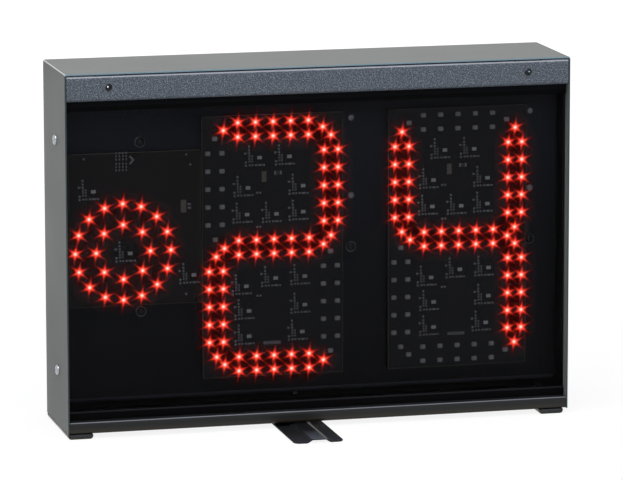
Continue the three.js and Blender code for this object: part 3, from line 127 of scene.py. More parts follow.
def linear(code):
    """An sRGB hex code as linear red, green, blue and full alpha."""
    shares = [int(code[index:index + 2], 16) / 255 for index in (1, 3, 5)]
    return [s / 12.92 if s <= 0.04045 else ((s + 0.055) / 1.055) ** 2.4 for s in shares] + [1.0]


def scaled(colour, factor):
    """A linear colour made darker or lighter."""
    return [min(part * factor, 1.0) for part in colour[:3]] + [1.0]


def box_mm(node):
    """The lowest and highest corner of a node of the part, and its middle, in millimetres."""
    low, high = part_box(node)
    return low / mm, high / mm, (low + high) / 2 / mm


def colour_property(name, description, code):
    return bpy.props.FloatVectorProperty(name=name, description=description, subtype="COLOR", size=4,
                                         min=0, max=1, default=linear(code))


def length_property(name, description, size):
    return bpy.props.FloatProperty(name=name, description=description, unit="LENGTH", subtype="DISTANCE",
                                   min=0, default=size * mm)


def angle_property(name, description, degrees):
    return bpy.props.FloatProperty(name=name, description=description, subtype="ANGLE",
                                   default=math.radians(degrees))


def share_property(name, description, share):
    return bpy.props.FloatProperty(name=name, description=description, subtype="FACTOR", min=0, max=1,
                                   default=share)


def digit_property(name, description, digit):
    return bpy.props.IntProperty(name=name, description=description, min=0, max=9, default=digit)


class CaseLooks(bpy.types.PropertyGroup):
    """Sizes and colours of the painted sheets."""

    shell_colour: colour_property("Shell", "Powder coat of the shell, rear cover and feet", "#808281")
    # Black that covers the shell's inner faces behind the window
    inside_colour: colour_property("Inside", "Black spray inside the shell", "#101113")
    # Painted highlight along bends and edges, standing in for the light that they catch
    bend_highlight_colour: colour_property("Edges", "Powder coat where it thins over bends and edges", "#f2f5f6")
    rail_colour: colour_property("Top rail", "Hollows of the rail's leather grain", "#4d5763")
    # Painted highlight on the rail grain's crests
    rail_light: colour_property("Top rail crests", "Crests of the rail's leather grain", "#bcc8da")
    tray_colour: colour_property("Tray", "Enamel of the bottom tray", "#1f2122")
    foot_colour: colour_property("Swivel foot", "Hollows of the swivel foot's grain", "#0e0f10")
    # Painted highlight on the foot grain's crests
    foot_light: colour_property("Swivel foot crests", "Crests of the swivel foot's grain", "#3c4045")
    panel_colour: colour_property("Panel", "Satin paint behind the boards", "#0b0c0f")
    sheet_edge: length_property("Sheet edge", "Rounding of the painted sheets' edges", 0.5)
    grain_width: length_property("Grain", "Width of one pebble of the leather grain", 0.85)


class DisplayLooks(bpy.types.PropertyGroup):
    """Sizes and colours of the LED boards and the window over them."""

    tens_digit: digit_property("Tens", "Digit that the left board shows", 2)
    units_digit: digit_property("Units", "Digit that the right board shows", 4)
    led_pitch: length_property("LED pitch", "Distance between neighbouring LEDs along a segment", 16.75)
    led_row_gap: length_property("LED rows", "Distance between the two rows of a segment", 13.4)
    segment_span: length_property("Segment span", "Length of one segment between the digit's corners", 110)
    ring_outer: length_property("Outer ring", "Radius of the outer ring of LEDs", 45)
    ring_inner: length_property("Inner ring", "Radius of the inner ring of LEDs", 25.5)
    flare_reach: length_property("Flare", "How far a lit LED's rays reach", 15)
    flare_turn: angle_property("Flare turn", "Direction of the first ray", 22)
    lit_colour: colour_property("Lit LED", "Colour of the light", "#ff2c1c")
    mask_colour: colour_property("Digit boards", "Solder mask of the digit boards", "#0b0c0f")
    ring_mask_colour: colour_property("Ring board", "Solder mask of the ring board", "#100b0b")
    window_tint: share_property("Window", "Share of light that one face of the window passes", 0.8)


class StageLooks(bpy.types.PropertyGroup):
    """Camera and floor."""

    lens: bpy.props.FloatProperty(name="Lens", description="Focal length of the camera", unit="CAMERA",
                                  min=1, default=265.1)
    camera_turn: angle_property("Turn", "How far the camera is turned to the right", 13.963)
    camera_tilt: angle_property("Tilt", "How far the camera looks down", 10.121)
    camera_roll: angle_property("Roll", "How far the camera leans", -0.089)
    camera_place: bpy.props.FloatVectorProperty(name="Place", description="Where the camera stands",
                                                subtype="TRANSLATION", default=(-1.0179, -4.1096, 0.9231))
    floor_colour: colour_property("Floor", "Pale floor", "#7c7c7c")
    floor_lift: share_property("Floor lift", "White that is seen on the floor near the case", 0.87)


class ShotClockLooks(bpy.types.PropertyGroup):
    """Everything that a user may change."""

    case: bpy.props.PointerProperty(type=CaseLooks, name="Case", description="Painted sheets")
    display: bpy.props.PointerProperty(type=DisplayLooks, name="Display", description="LED boards, window")
    stage: bpy.props.PointerProperty(type=StageLooks, name="Stage", description="Camera and floor")


# Nodes and finishes


def link(value, socket):
    """Sets a socket to a plain value or a hex code's colour, or links it to another socket or to a node's
    first output in use."""
    if isinstance(value, bpy.types.Node):
        value = next(output for output in value.outputs if output.enabled)
    if isinstance(value, bpy.types.NodeSocket):
        socket.id_data.links.new(value, socket)
    else:
        socket.default_value = linear(value) if isinstance(value, str) else value


def add_node(owner, kind, inputs=(), operation=None, **settings):
    """Adds a node to a material, a world or a node group. The inputs are values in the order of its sockets,
    or a dict of them by socket, and the settings are its attributes. A kind without Node in it is a shader
    node's."""
    tree = getattr(owner, "node_tree", owner)
    node = tree.nodes.new(kind if "Node" in kind else "ShaderNode" + kind)
    if operation:
        node.operation = operation
    for name, value in settings.items():
        setattr(node, name, value)
    for socket, value in inputs.items() if isinstance(inputs, dict) else enumerate(inputs):
        link(value, node.inputs[socket])
    return node


def new_finish(name):
    """A material with nodes, which holds one Principled shader."""
    finish = bpy.data.materials.new(name)
    finish.use_nodes = True
    return finish


def feed(finish, **sockets):
    """Gives sockets of a finish's Principled shader their values or links."""
    for socket, value in sockets.items():
        link(value, finish.node_tree.nodes["Principled BSDF"].inputs[socket.replace("_", " ")])
    return finish


def begin_finish(name, colour, **sockets):
    """A material whose Principled shader has plain values."""
    return feed(new_finish(name), Base_Color=colour, **sockets)


def show(finish, surface):
    """Makes a shader the whole of a material, instead of its Principled one."""
    nodes = finish.node_tree.nodes
    nodes.remove(nodes["Principled BSDF"])
    link(surface, nodes["Material Output"].inputs["Surface"])
    return finish


def coordinates(finish, kind="Object"):
    """The x, y and z of a point's place on the part, or of its normal."""
    place = add_node(finish, "TexCoord").outputs[kind]
    return add_node(finish, "SeparateXYZ", [place]).outputs


def cover(finish, share, colour):
    """Lays a colour over the finish's own, as far as a share says."""
    own = finish.node_tree.nodes["Principled BSDF"].inputs["Base Color"]
    before = own.links[0].from_socket if own.links else tuple(own.default_value)
    feed(finish, Base_Color=add_node(finish, "Mix", {0: share, 6: before, 7: colour}, data_type="RGBA"))


def mottle(finish, width, detail, tones=None, gloss=None, depth=0):
    """Uneven patches of a real width in millimetres. They change the colour between two multiples of it, the
    roughness between two values, and the height by a depth in millimetres."""
    place = add_node(finish, "TexCoord").outputs["Object"]
    noise = add_node(finish, "TexNoise", {"Vector": place, "Scale": 1 / (width * mm), "Detail": detail})
    patch = add_node(finish, "MapRange", [noise, 0.3, 0.7])
    if tones:
        own = finish.node_tree.nodes["Principled BSDF"].inputs["Base Color"].default_value
        dark, light = (scaled(own, tone) for tone in tones)
        feed(finish, Base_Color=add_node(finish, "Mix", {0: patch, 6: dark, 7: light}, data_type="RGBA"))
    if gloss:
        feed(finish, Roughness=add_node(finish, "MapRange", [patch, 0, 1, *gloss]))
    if depth:
        feed(finish, Normal=add_node(finish, "Bump", {"Height": patch, "Distance": depth * mm}))


def paint_bend_highlights(finish, light, start=0.92, full=0.8):
    """Painted highlight on bends and rounded edges: slanting faces that don't face down are lighter."""
    sides = coordinates(finish, "Normal")
    x, y, z = (add_node(finish, "Math", [side], "ABSOLUTE") for side in sides)
    larger = add_node(finish, "Math", [y, x], "MAXIMUM")
    largest = add_node(finish, "Math", [z, larger], "MAXIMUM")
    slant = add_node(finish, "MapRange", [largest, start, full])
    upward = add_node(finish, "Math", [sides[2], -0.2], "GREATER_THAN")
    cover(finish, add_node(finish, "Math", [slant, upward], "MULTIPLY"), light)


def blacken_inside(finish, black, half_width, top, front):
    """Black on the inner faces behind the window: nearer the middle than the walls, and lower than the top
    sheet."""
    x, y, z = coordinates(finish)
    aside = add_node(finish, "Math", [x], "ABSOLUTE")
    inside = add_node(finish, "Math", [aside, half_width], "LESS_THAN")
    for part, limit, test in ((z, top, "LESS_THAN"), (y, front, "GREATER_THAN")):
        within = add_node(finish, "Math", [part, limit], operation=test)
        inside = add_node(finish, "Math", [inside, within], "MULTIPLY")
    cover(finish, inside, black)


def paint_front_edge_light(finish, walls, top, above):
    """The sheets' cut front edges: painted shade on the walls, and a painted bluish highlight on the top."""
    forward = add_node(finish, "Math", [coordinates(finish, "Normal")[1], -0.5], "LESS_THAN")
    high = add_node(finish, "Math", [coordinates(finish)[2], above], "GREATER_THAN")
    cover(finish, forward, walls)
    cover(finish, add_node(finish, "Math", [forward, high], "MULTIPLY"), top)


def tint_by_height(finish, colour, none_at, full_at, share=1.0):
    """Lays a colour over a finish, from nothing at one height in millimetres to a share at another."""
    level = add_node(finish, "MapRange", [coordinates(finish)[2], none_at * mm, full_at * mm, 0, share])
    cover(finish, level, colour)


def powder_coat(name, colour, light):
    """Polyester powder coat, sprayed and baked: an even satin skin with a slight orange peel."""
    finish = begin_finish(name, colour, Roughness=0.55, IOR=1.5, Specular_IOR_Level=0.3)
    mottle(finish, 90, 3, tones=(0.95, 1.05), gloss=(0.5, 0.6))
    # Real orange peel is about a millimetre wide, drawn twice as coarse so that it shows
    mottle(finish, 2.0, 2, depth=0.04)
    # Painted highlight along the bends
    paint_bend_highlights(finish, light)
    return finish


def leather_grain_coat(name, hollow, crest_highlight, width, depth=0.35, specular=0.5):
    """Textured powder coat, in pebbles like leather, whose crests carry a painted highlight."""
    finish = begin_finish(name, hollow, Roughness=0.4, IOR=1.5, Specular_IOR_Level=specular)
    place = add_node(finish, "TexCoord").outputs["Object"]
    bend = add_node(finish, "TexNoise", {"Vector": place, "Scale": 1 / width}).outputs["Color"]
    shift = add_node(finish, "VectorMath", {0: bend, "Scale": width * 0.6}, "SCALE")
    moved = add_node(finish, "VectorMath", [place, shift])
    pebbles = add_node(finish, "TexVoronoi", {"Vector": moved, "Scale": 1 / width}, feature="SMOOTH_F1")
    crests = add_node(finish, "MapRange", [pebbles, 0.35, 0.85])
    # Painted highlight on the crests
    cover(finish, crests, crest_highlight)
    return feed(finish, Normal=add_node(finish, "Bump", {"Height": crests, "Distance": depth * mm}))


def paint_foot_light(finish, crown, end, edge):
    """Painted light on the swivel foot: its coat is greyer towards its ends, away from the case's shade.
    Its crown rubs on the case, so it is smooth; it is painted brighter towards its ends, and a painted
    highlight runs along a line on its right edge."""
    x, y, z = coordinates(finish)
    reach = add_node(finish, "Math", [y], "ABSOLUTE")
    along = add_node(finish, "MapRange", [reach, 82 * mm, end])
    high = add_node(finish, "Math", [z, crown], "GREATER_THAN")
    lit_crown_ends = add_node(finish, "Math", [along, high], "MULTIPLY")
    dull = add_node(finish, "Math", [along, 0.45], "MULTIPLY")
    for share, part in ((dull, 0.6), (high, 0.06), (lit_crown_ends, 1)):
        cover(finish, share, scaled(linear("#5d626e"), part))
    aside = add_node(finish, "Math", [x, edge], "SUBTRACT")
    apart = add_node(finish, "Math", [aside], "ABSOLUTE")
    cover(finish, add_node(finish, "MapRange", [apart, 1.4 * mm, 0.6 * mm]), "#85827e")


def semi_gloss_enamel(name, colour, light):
    """Stoving enamel: a hard semi-gloss film, with a thin painted highlight along each bend."""
    finish = begin_finish(name, colour, Roughness=0.34, IOR=1.5, Specular_IOR_Level=0.3)
    mottle(finish, 30, 4, tones=(0.85, 1.15), gloss=(0.3, 0.42))
    paint_bend_highlights(finish, light, 0.84, 0.76)
    return finish


def satin_paint(name, colour):
    """Satin black spray paint on a flat sheet, dusty in broad patches. Painted light greys it towards its
    top, and a painted highlight runs along its bends.
    """
    finish = begin_finish(name, colour, Roughness=0.6, IOR=1.48, Specular_IOR_Level=0.15)
    mottle(finish, 60, 4, tones=(0.8, 1.25), gloss=(0.5, 0.65))
    mottle(finish, 1.6, 2, depth=0.03)
    # Painted light: greyer towards the top, as if lit from above
    tint_by_height(finish, scaled(colour, 17), 60, 320, 0.5)
    # Painted highlight along the bends
    paint_bend_highlights(finish, scaled(colour, 5))
    return finish


def moulded_plastic(name, code, roughness=0.42, specular=0.5):
    """Moulded nylon, ABS or rubber, or extruded PVC: one even colour, dulled by a fine grain."""
    finish = begin_finish(name, code, Roughness=roughness, IOR=1.53, Specular_IOR_Level=specular)
    mottle(finish, 9, 3, tones=(0.9, 1.1), gloss=(roughness - 0.05, roughness + 0.08))
    # Real grain is a fifth of a millimetre, drawn coarser so that it shows
    mottle(finish, 0.6, 1, depth=0.02)
    return finish


def solder_mask(name, colour):
    """Black solder mask screened over copper tracks: a silky film in which the tracks just stand out."""
    finish = begin_finish(name, colour, Roughness=0.45, IOR=1.5, Specular_IOR_Level=0.2)
    place = add_node(finish, "TexCoord").outputs["Object"]
    # Tracks run about four millimetres apart on such boards
    lanes = add_node(finish, "TexVoronoi", {"Vector": place, "Scale": 1 / (4 * mm), "Randomness": 0.35},
                     feature="DISTANCE_TO_EDGE")
    track = add_node(finish, "MapRange", [lanes, 0.07, 0.03])
    cover(finish, track, scaled(colour, 1.7))
    return feed(finish, Normal=add_node(finish, "Bump", {"Height": track, "Distance": 0.03 * mm}))


def named(finish):
    """The finish of a name. A small part's is made when it's first asked for."""
    if not isinstance(finish, str):
        return finish
    if finish not in bpy.data.materials:
        code, roughness, index, *patches = small_finishes[finish]
        width, detail, tones, spread = patches[0] if patches else plain
        kind = {"IOR": index} if index else {"Metallic": 1.0}
        small = begin_finish(finish, code, Roughness=roughness, **kind)
        mottle(small, width, detail, tones, [roughness + part for part in spread])
    return bpy.data.materials[finish]


def smoked_acrylic(name, tint):
    """Cast acrylic, smoked and polished: it passes part of the light and mirrors little of the room."""
    finish = new_finish(name)
    clear = add_node(finish, "BsdfTransparent", [(tint, tint, tint * 1.02, 1)])
    gloss = add_node(finish, "BsdfGlossy", ["#ffffff", 0.04])
    # The real index is 1.49; a white studio all round would mirror far more than a room does, so it is lower
    share = add_node(finish, "Fresnel", [1.07])
    return show(finish, add_node(finish, "MixShader", [share, clear, gloss]))


def led_flare(name, colour):
    """The glare round a lit LED: white-hot in the middle, then the LED's red, which fades to nothing."""
    finish = new_finish(name)
    heat = add_node(finish, "Attribute", attribute_name="glow").outputs["Fac"]
    ramp = add_node(finish, "ValToRGB", [heat])
    stops = ramp.color_ramp.elements
    stops[0].color = scaled(colour, 0.8)
    stops[1].color = linear("#fff3e2")
    for position, code in ((0.5, "#f83a28"), (0.68, "#fb6048"), (0.85, "#ffa894")):
        stops.new(position).color = linear(code)
    # Heat from 0 to 0.5 fades the red in, and from 0.5 to 1 turns it white
    shown = add_node(finish, "Math", [heat, 2.0], "MULTIPLY", use_clamp=True)
    # The window takes a third of the light
    light = add_node(finish, "Emission", [ramp, 1.6])
    clear = add_node(finish, "BsdfTransparent")
    return show(finish, add_node(finish, "MixShader", [shown, clear, light]))


# Shapes, in millimetres


def rounded(width, height, corner, middle=(0, 0), steps=4):
    """The outline of a rectangle with round corners."""
    points = []
    for quarter, (side, rise) in enumerate(((1, 1), (-1, 1), (-1, -1), (1, -1))):
        centre_u = middle[0] + side * (width / 2 - corner)
        centre_v = middle[1] + rise * (height / 2 - corner)
        for step in range(steps + 1):
            turn = math.pi / 2 * (quarter + step / steps)
            points.append((centre_u + corner * math.cos(turn), centre_v + corner * math.sin(turn)))
    return points


def circle(radius, middle=(0, 0), count=32):
    return [(middle[0] + radius * math.cos(math.tau * index / count),
             middle[1] + radius * math.sin(math.tau * index / count)) for index in range(count)]


def bridge(mesh, near, far):
    """Joins two rings of points by faces. One of them may be a single point."""
    for index in range(max(len(near), len(far))):
        start = near if len(near) == 1 else (near[index - 1], near[index])
        end = far if len(far) == 1 else (far[index], far[index - 1])
        mesh.faces.new((*start, *end))


def face_out(mesh):
    bmesh.ops.recalc_face_normals(mesh, faces=mesh.faces[:])


def prism(outline, low, high, edge=0.0, steps=1):
    """An outline drawn out from front to back, with its edges rounded."""
    mesh = bmesh.new()
    ends = [[mesh.verts.new((u, level, v)) for u, v in outline] for level in (low, high)]
    for end in ends:
        mesh.faces.new(end)
    bridge(mesh, *ends)
    face_out(mesh)
    if edge:
        sharp = [line for line in mesh.edges if line.calc_face_angle(0) > math.radians(30)]
        bmesh.ops.bevel(mesh, geom=sharp, offset=edge, segments=steps, affect="EDGES", profile=0.5)
    return mesh


def block(low, high, edge=0.0):
    """A rectangular block between two corners."""
    outline = [(low[0], low[2]), (high[0], low[2]), (high[0], high[2]), (low[0], high[2])]
    return prism(outline, low[1], high[1], edge)


def fill(mesh, rings, rim=()):
    """Fills the room between closed rings of points, and edges that are there, with a flat face."""
    edges = [mesh.edges.new((ring[index - 1], ring[index])) for ring in rings for index in range(len(ring))]
    bmesh.ops.triangle_fill(mesh, use_beauty=True, edges=[*rim, *edges])


def pierced(outline, holes, low, high):
    """An outline with holes in it, drawn out from front to back."""
    mesh = bmesh.new()
    ends = [[[mesh.verts.new((u, level, v)) for u, v in line] for line in [outline] + holes]
            for level in (low, high)]
    for rings in ends:
        fill(mesh, rings)
    for near, far in zip(*ends):
        bridge(mesh, near, far)
    face_out(mesh)
    return mesh


def turned(profile, turns=32):
    """A profile of radius and height turned about the Z axis. A radius of 0 closes an end."""
    mesh = bmesh.new()
    rings = [[mesh.verts.new((u, v, height))
              for u, v in (circle(radius, count=turns) if radius else [(0, 0)])]
             for radius, height in profile]
    for inner, outer in zip(rings, rings[1:]):
        bridge(mesh, inner, outer)
    face_out(mesh)
    return mesh


def cross_recess(reach, width):
    """The outline of a cross recess, its arms narrower at their ends."""
    half = width / 2
    corner = half * 1.25
    arm = [(reach, -half * 0.8), (reach, half * 0.8), (corner, corner)]
    return [(u * c - v * s, u * s + v * c) for c, s in ((1, 0), (0, 1), (-1, 0), (0, -1)) for u, v in arm]


def screw_head(profile, recess, depth):
    """A turned head whose flat top, the profile's last ring, has a recess cut in it."""
    mesh = turned(profile)
    top = profile[-1][1]
    rim = [line for line in mesh.edges if line.is_boundary
           and all(abs(v.co.z - top) < 1e-6 for v in line.verts)]
    mouth = [mesh.verts.new((u, v, top)) for u, v in recess]
    floor = [mesh.verts.new((u * 0.7, v * 0.7, top - depth)) for u, v in recess]
    fill(mesh, [mouth], rim)
    bridge(mesh, mouth, floor)
    mesh.faces.new(floor)
    face_out(mesh)
    return mesh


def put(name, data):
    """Makes an object of a mesh, lamp or camera and adds it to the scene."""
    thing = bpy.data.objects.new(name, data)
    bpy.context.scene.collection.objects.link(thing)
    return thing


def make_piece(name, shapes, body="case", stands_for=None):
    """Makes one object of shapes in millimetres, each with its finish and the places that it's put at, which
    are offsets or matrices. The object rides a body and may stand for a node of the part."""
    points, faces, marks, finishes = [], [], [], []
    for shape, finish, *places in shapes:
        if finish not in finishes:
            finishes.append(finish)
        shape.verts.index_update()
        loops = [[vert.index for vert in face.verts] for face in shape.faces]
        for place in places[0] if places else [(0, 0, 0)]:
            move = place if isinstance(place, Matrix) else Matrix.Translation(place)
            faces += [[len(points) + index for index in loop] for loop in loops]
            points += [move @ vert.co * mm for vert in shape.verts]
            marks += [finishes.index(finish)] * len(loops)
    mesh = bpy.data.meshes.new(name)
    mesh.from_pydata(points, [], faces)
    mesh.polygons.foreach_set("material_index", marks)
    for finish in finishes:
        mesh.materials.append(named(finish))
    mesh.shade_smooth()
    mesh.set_sharp_from_angle(angle=math.radians(35))
    piece = put(name, mesh)
    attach(piece, body)
    if stands_for:
        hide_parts(stands_for)


def facing(place, way):
    """A matrix that puts a shape made along +Z at a place, facing along a way."""
    turn = Vector(way).to_track_quat("Z", "Y").to_matrix().to_4x4()
    return Matrix.Translation(place) @ turn


def even_shading():
    """Geometry nodes that shade bends smooth and keep corners crisp."""
    group = bpy.data.node_groups.get("even_shading")
    if group:
        return group
    group = bpy.data.node_groups.new("even_shading", "GeometryNodeTree")
    for way in ("INPUT", "OUTPUT"):
        group.interface.new_socket("Geometry", in_out=way, socket_type="NodeSocketGeometry")
    entry = add_node(group, "NodeGroupInput")
    bend = add_node(group, "GeometryNodeInputMeshEdgeAngle")
    sharp = add_node(group, "FunctionNodeCompare", [bend, math.radians(35)], "GREATER_THAN",
                     data_type="FLOAT")
    shaded = add_node(group, "GeometryNodeSetMeshNormal", {"Mesh": entry, "Remove Custom": True,
                                                           "Edge Sharpness": sharp, "Face Sharpness": False},
                      mode="SHARPNESS")
    add_node(group, "NodeGroupOutput", [shaded])
    return group


def dress(nodes, finish, edge=0.0):
    """Gives nodes of the part a finish, rounds their edges by some millimetres and shades bends smooth."""
    rounding = (("weld", "WELD", {"merge_threshold": 1e-6}),
                ("flat_faces", "DECIMATE", {"decimate_type": "DISSOLVE", "angle_limit": 0.01}),
                ("edges", "BEVEL", {"width": edge * mm, "segments": 2, "limit_method": "ANGLE",
                                    "angle_limit": 0.6, "use_clamp_overlap": False}))
    shading = (("shading", "NODES", {"node_group": even_shading()}),
               ("flat_faces_lead", "WEIGHTED_NORMAL", {"keep_sharp": True}))
    for node in nodes:
        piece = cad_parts[node]
        piece.data.materials.clear()
        piece.data.materials.append(named(finish))
        for name, kind, settings in (rounding if edge else ()) + shading:
            modifier = piece.modifiers.new(name, kind)
            for setting, value in settings.items():
                setattr(modifier, setting, value)


# The LED boards


def segment_places(looks, middle_x, middle_z, name):
    """Twelve places of one segment: five pairs and one more at each end."""
    across_share, up_share, level = segment_shares[name]
    pitch, row, span = (value / mm for value in (looks.led_pitch, looks.led_row_gap, looks.segment_span))
    tip = pitch * 2 + 13.75
    spots = [(index * pitch, side * row / 2) for index in range(-2, 3) for side in (-1, 1)]
    spots += [(-tip, 0), (tip, 0)]
    x, z = middle_x + across_share * span, middle_z + up_share * span
    return [(x + u, z + v) if level else (x + v, z + u) for u, v in spots]


def ring_places(looks, x, z):
    """Places of the LEDs in both rings, from the top round to the right."""
    rings = circle(looks.ring_outer / mm, (z, x), 16) + circle(looks.ring_inner / mm, (z, x), 8)
    return [(across, up) for up, across in rings]


def flat(finish, spots, size, depth, edge=0.1):
    """Flat blocks on a board's face. Their size is width and height, a spot is the middle of the back."""
    width, height = size
    return block((-width / 2, -depth, -height / 2), (width / 2, 0, height / 2), edge), finish, spots


def two_ended(spots, length, width, upright=False, ends="tinned_copper", body="moulded_epoxy"):
    """Chip resistors or capacitors: a body between two ends."""
    turn = -1 if upright else 1
    cap = min(length * 0.3, 1.3)
    across, up = ((length - cap) / 2, 0)[::turn]
    tips = [(x + side * across, y, z + side * up) for side in (-1, 1) for x, y, z in spots]
    return [flat(body, spots, (length, width)[::turn], 0.7),
            flat(ends, tips, (cap + 0.16, width + 0.16)[::turn], 0.78)]


def leds(places, face, filling):
    """LED packages on a board's face: a moulded body, a round cup with its filling, and two tinned feet."""
    spots = [(x, face, z) for x, z in places]
    dome = turned([(0, 2.0), (0.8, 1.95), (1.4, 1.82), (1.5, 1.7)], 20)
    feet = [(x + side * 2.35, y, z) for side in (-1, 1) for x, y, z in spots]
    return [(prism(rounded(4.4, 3.9, 0.2), -1.75, 0, 0.15), "reflector_plastic", spots),
            (dome, filling, [facing(spot, to_front) for spot in spots]),
            flat("tinned_copper", feet, (0.7, 2.0), 0.5)]


def drivers(places, face):
    """LED drivers: a small amplifier with six legs, its resistors and a ceramic capacitor beside it."""
    def spots(across, up):
        return [(x + across, face, z + up) for x, z in places]

    legs = sum((spots(side, row) for side in (-9.85, -6.95) for row in (1.6, -0.9, -3.4)), [])
    shapes = two_ended(spots(0, 0), 4.0, 2.9, ends="ceramic_chip", body="ceramic_chip")
    shapes += [flat("moulded_epoxy", spots(-8.4, -1.2), (2.0, 6.8), 1.1, 0.15),
               flat("tinned_copper", legs, (1.2, 1.5), 0.35, 0.08)]
    for across, up, *size in driver_resistors:
        shapes += two_ended(spots(across, up), *size)
    return shapes


def board_sheet(node, mask):
    """A glass-epoxy sheet with solder mask on both faces; returns its corners, its front, its back and its
    shapes."""
    low, high, middle = box_mm(node)
    # The LEDs stand 2 mm out in front of the sheet, which is 1.6 mm thick
    front, back = low.y + 2.0, low.y + 3.6
    film, margin = 0.05, 0.6
    shapes = []
    for start, end, inset, finish in ((front + film, back - film, 0, "glass_epoxy"),
                                      (front, front + film, margin, mask),
                                      (back - film, back, margin, mask)):
        outline = rounded(high.x - low.x - inset, high.z - low.z - inset, 1.0, (middle.x, middle.z))
        shapes.append((prism(outline, start, end), finish))
    return low, high, front, back, shapes


def finish_board(node, shapes, x, z, back):
    """Solders a shrouded header with its pins behind a board and makes the board of its shapes."""
    outline, hole = rounded(6, 20, 0.4, (x, z)), rounded(4.4, 18.4, 0.3, (x, z))
    pins = [(x + side * 1.27, back, z + row * 2.54) for side in (-1, 1) for row in range(-3, 4)]
    shapes += [(pierced(outline, [hole], back, back + 8), "header_nylon"),
               (prism(outline, back, back + 1.2), "header_nylon"),
               (block((-0.32, 0, -0.32), (0.32, 6.5, 0.32), 0.08), "tinned_copper", pins)]
    make_piece(node + "_dressed", shapes, stands_for=node)


def digit_board(looks, node, header_drop, digit):
    """One digit board: its sheet, 84 LEDs, drivers, header; returns the places of its lit LEDs."""
    low, high, front, back, shapes = board_sheet(node, "solder_mask_black")
    x, z = (low.x + high.x) / 2, (low.z + high.z) / 2
    lit, dark = [], []
    for name in segment_shares:
        (lit if name in lit_segments[digit] else dark).extend(segment_places(looks, x, z, name))
    shapes += leds(dark, front, "clear_silicone") + leds(lit, front, "led_lit_die")
    shapes += drivers([(x + u, z + v) for u, v in driver_places], front)
    shapes += two_ended([(x - 8.2, front, z + 65)], 9.6, 4.2, True, "tantalum_case", "tantalum_case")
    shapes += two_ended([(x + 5, front, z + 68.2)], 6.8, 3.3)
    shapes += two_ended([(x - 13.5, front, z + v) for v in (50, 18, -47)], 4.4, 1.6)
    pads = [(x - 8.4 + index * 2.1, front, z - 92) for index in range(8)]
    shapes.append(flat("tinned_copper", pads, (1.2, 3.0), 0.4))
    finish_board(node, shapes, x, high.z - header_drop, back)
    return lit, front


def ring_board(looks):
    """The ring board: two rings of LEDs with their drivers; returns the places of its lit LEDs."""
    low, high, front, back, shapes = board_sheet("ring_board", "solder_mask_brown_black")
    x, z = low.x + 50, low.z + 51
    lit = ring_places(looks, x, z)
    shapes += leds(lit, front, "led_lit_die")
    shapes += drivers([(x + u, z + v) for u, v in ((-27, 57), (7, -2), (67, -25))], front)
    pads = [(x - 5.5 + index * 3.2, front, z + v) for index in range(4) for v in (92, 89, 86, 82, 79, 76)]
    shapes.append(flat("tinned_copper", pads, (1.2, 1.8), 0.3, 0.15))
    arrow = [(8 + u * 1.3, 85 + v) for u, v in ((0, 3), (0, -3), (1, 1.5), (1, -1.5), (2, 0))]
    spots = arrow + [(-35.6, 87.4), (60.5, 88.2), (64.3, 78.8), (59.7, -42.7)]
    shapes.append((turned([(0, 0.35), (0.9, 0.3), (1.0, 0)], 12), "tinned_copper",
                   [facing((x + u, front, z + v), to_front) for u, v in spots]))
    shapes += two_ended([(x + 57.5, front, z + 40)], 11.5, 5.2, True, "tantalum_case", "tantalum_case")
    shapes += two_ended([(x + 63, front, z + 40)], 5.0, 3.0, True)
    finish_board("ring_board", shapes, high.x - 13, high.z - 22, back)
    return lit, front


def flare_heat(reach, turn):
    """How hot a flare is at a distance in millimetres and a direction from the LED: 0.5 is red, 1 is white.
    Six rays, each split in two, fade over a few millimetres, and a haze lies between them."""
    core = math.exp(-(reach / 2.15) ** 2.2)
    haze = min(1.0, math.exp(-(reach - 1.9) / 1.0)) + 0.02 * math.exp(-reach / 6)
    aside = abs((math.degrees(turn) + 30) % 60 - 30)
    split = reach * math.sin(math.radians(abs(aside - 2.5)))
    thickness = 0.35 + 1.2 * math.exp(-reach / 3)
    ray = min(1.0, math.exp(-(reach - 3.6) / 2.4)) * math.exp(-(split / thickness) ** 2)
    return 0.5 * min(1.0, haze + ray) + 0.5 * core


def flares(looks, name, places, front):
    """Small sheets of glare in front of lit LEDs, each at its own depth so that none lies in another."""
    reach = looks.flare_reach / mm
    # The glare ends half a millimetre short of the case's walls
    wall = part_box("case_shell")[1].x / mm - sheet - 0.5
    # More rings near the LED and more spokes near each ray, where the glare changes quickly
    rings = [reach * (step / 12) ** 1.5 for step in range(1, 13)]
    asides = (-24, -16, -11, -8, -6, -3, 0, 3, 6, 8, 11, 16)
    spokes = [ray * 60 + aside for ray in range(6) for aside in asides]
    star = [(0, 0, flare_heat(0, 0))]
    for ring in rings:
        for spoke in spokes:
            turn = math.radians(spoke) + looks.flare_turn
            heat = 0 if ring == rings[-1] else flare_heat(ring, math.radians(spoke))
            star.append((ring * math.cos(turn), ring * math.sin(turn), heat))
    count = len(spokes)
    web = [(0, 1 + index, 1 + (index + 1) % count) for index in range(count)]
    for inner in range(1, 1 + count * (len(rings) - 1), count):
        outer = inner + count
        web += [(inner + index, outer + index, outer + (index + 1) % count, inner + (index + 1) % count)
                for index in range(count)]
    points, faces = [], []
    for index, (x, z) in enumerate(places):
        level = front - 2.5 - index * 0.05
        faces += [[len(points) + corner for corner in face] for face in web]
        points += [Vector((max(-wall, min(wall, x + u)), level, z + v)) * mm for u, v, heat in star]
    mesh = bpy.data.meshes.new(name)
    mesh.from_pydata(points, [], faces)
    glow = mesh.attributes.new("glow", "FLOAT", "POINT")
    glow.data.foreach_set("value", [heat for u, v, heat in star] * len(places))
    mesh.materials.append(named("led_flare"))
    piece = put(name, mesh)
    # Glare is only seen: it lies in the eye or lens, so it casts no shadow and lights nothing
    piece.visible_shadow = False
    piece.visible_diffuse = False
    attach(piece, "case")


# Operators


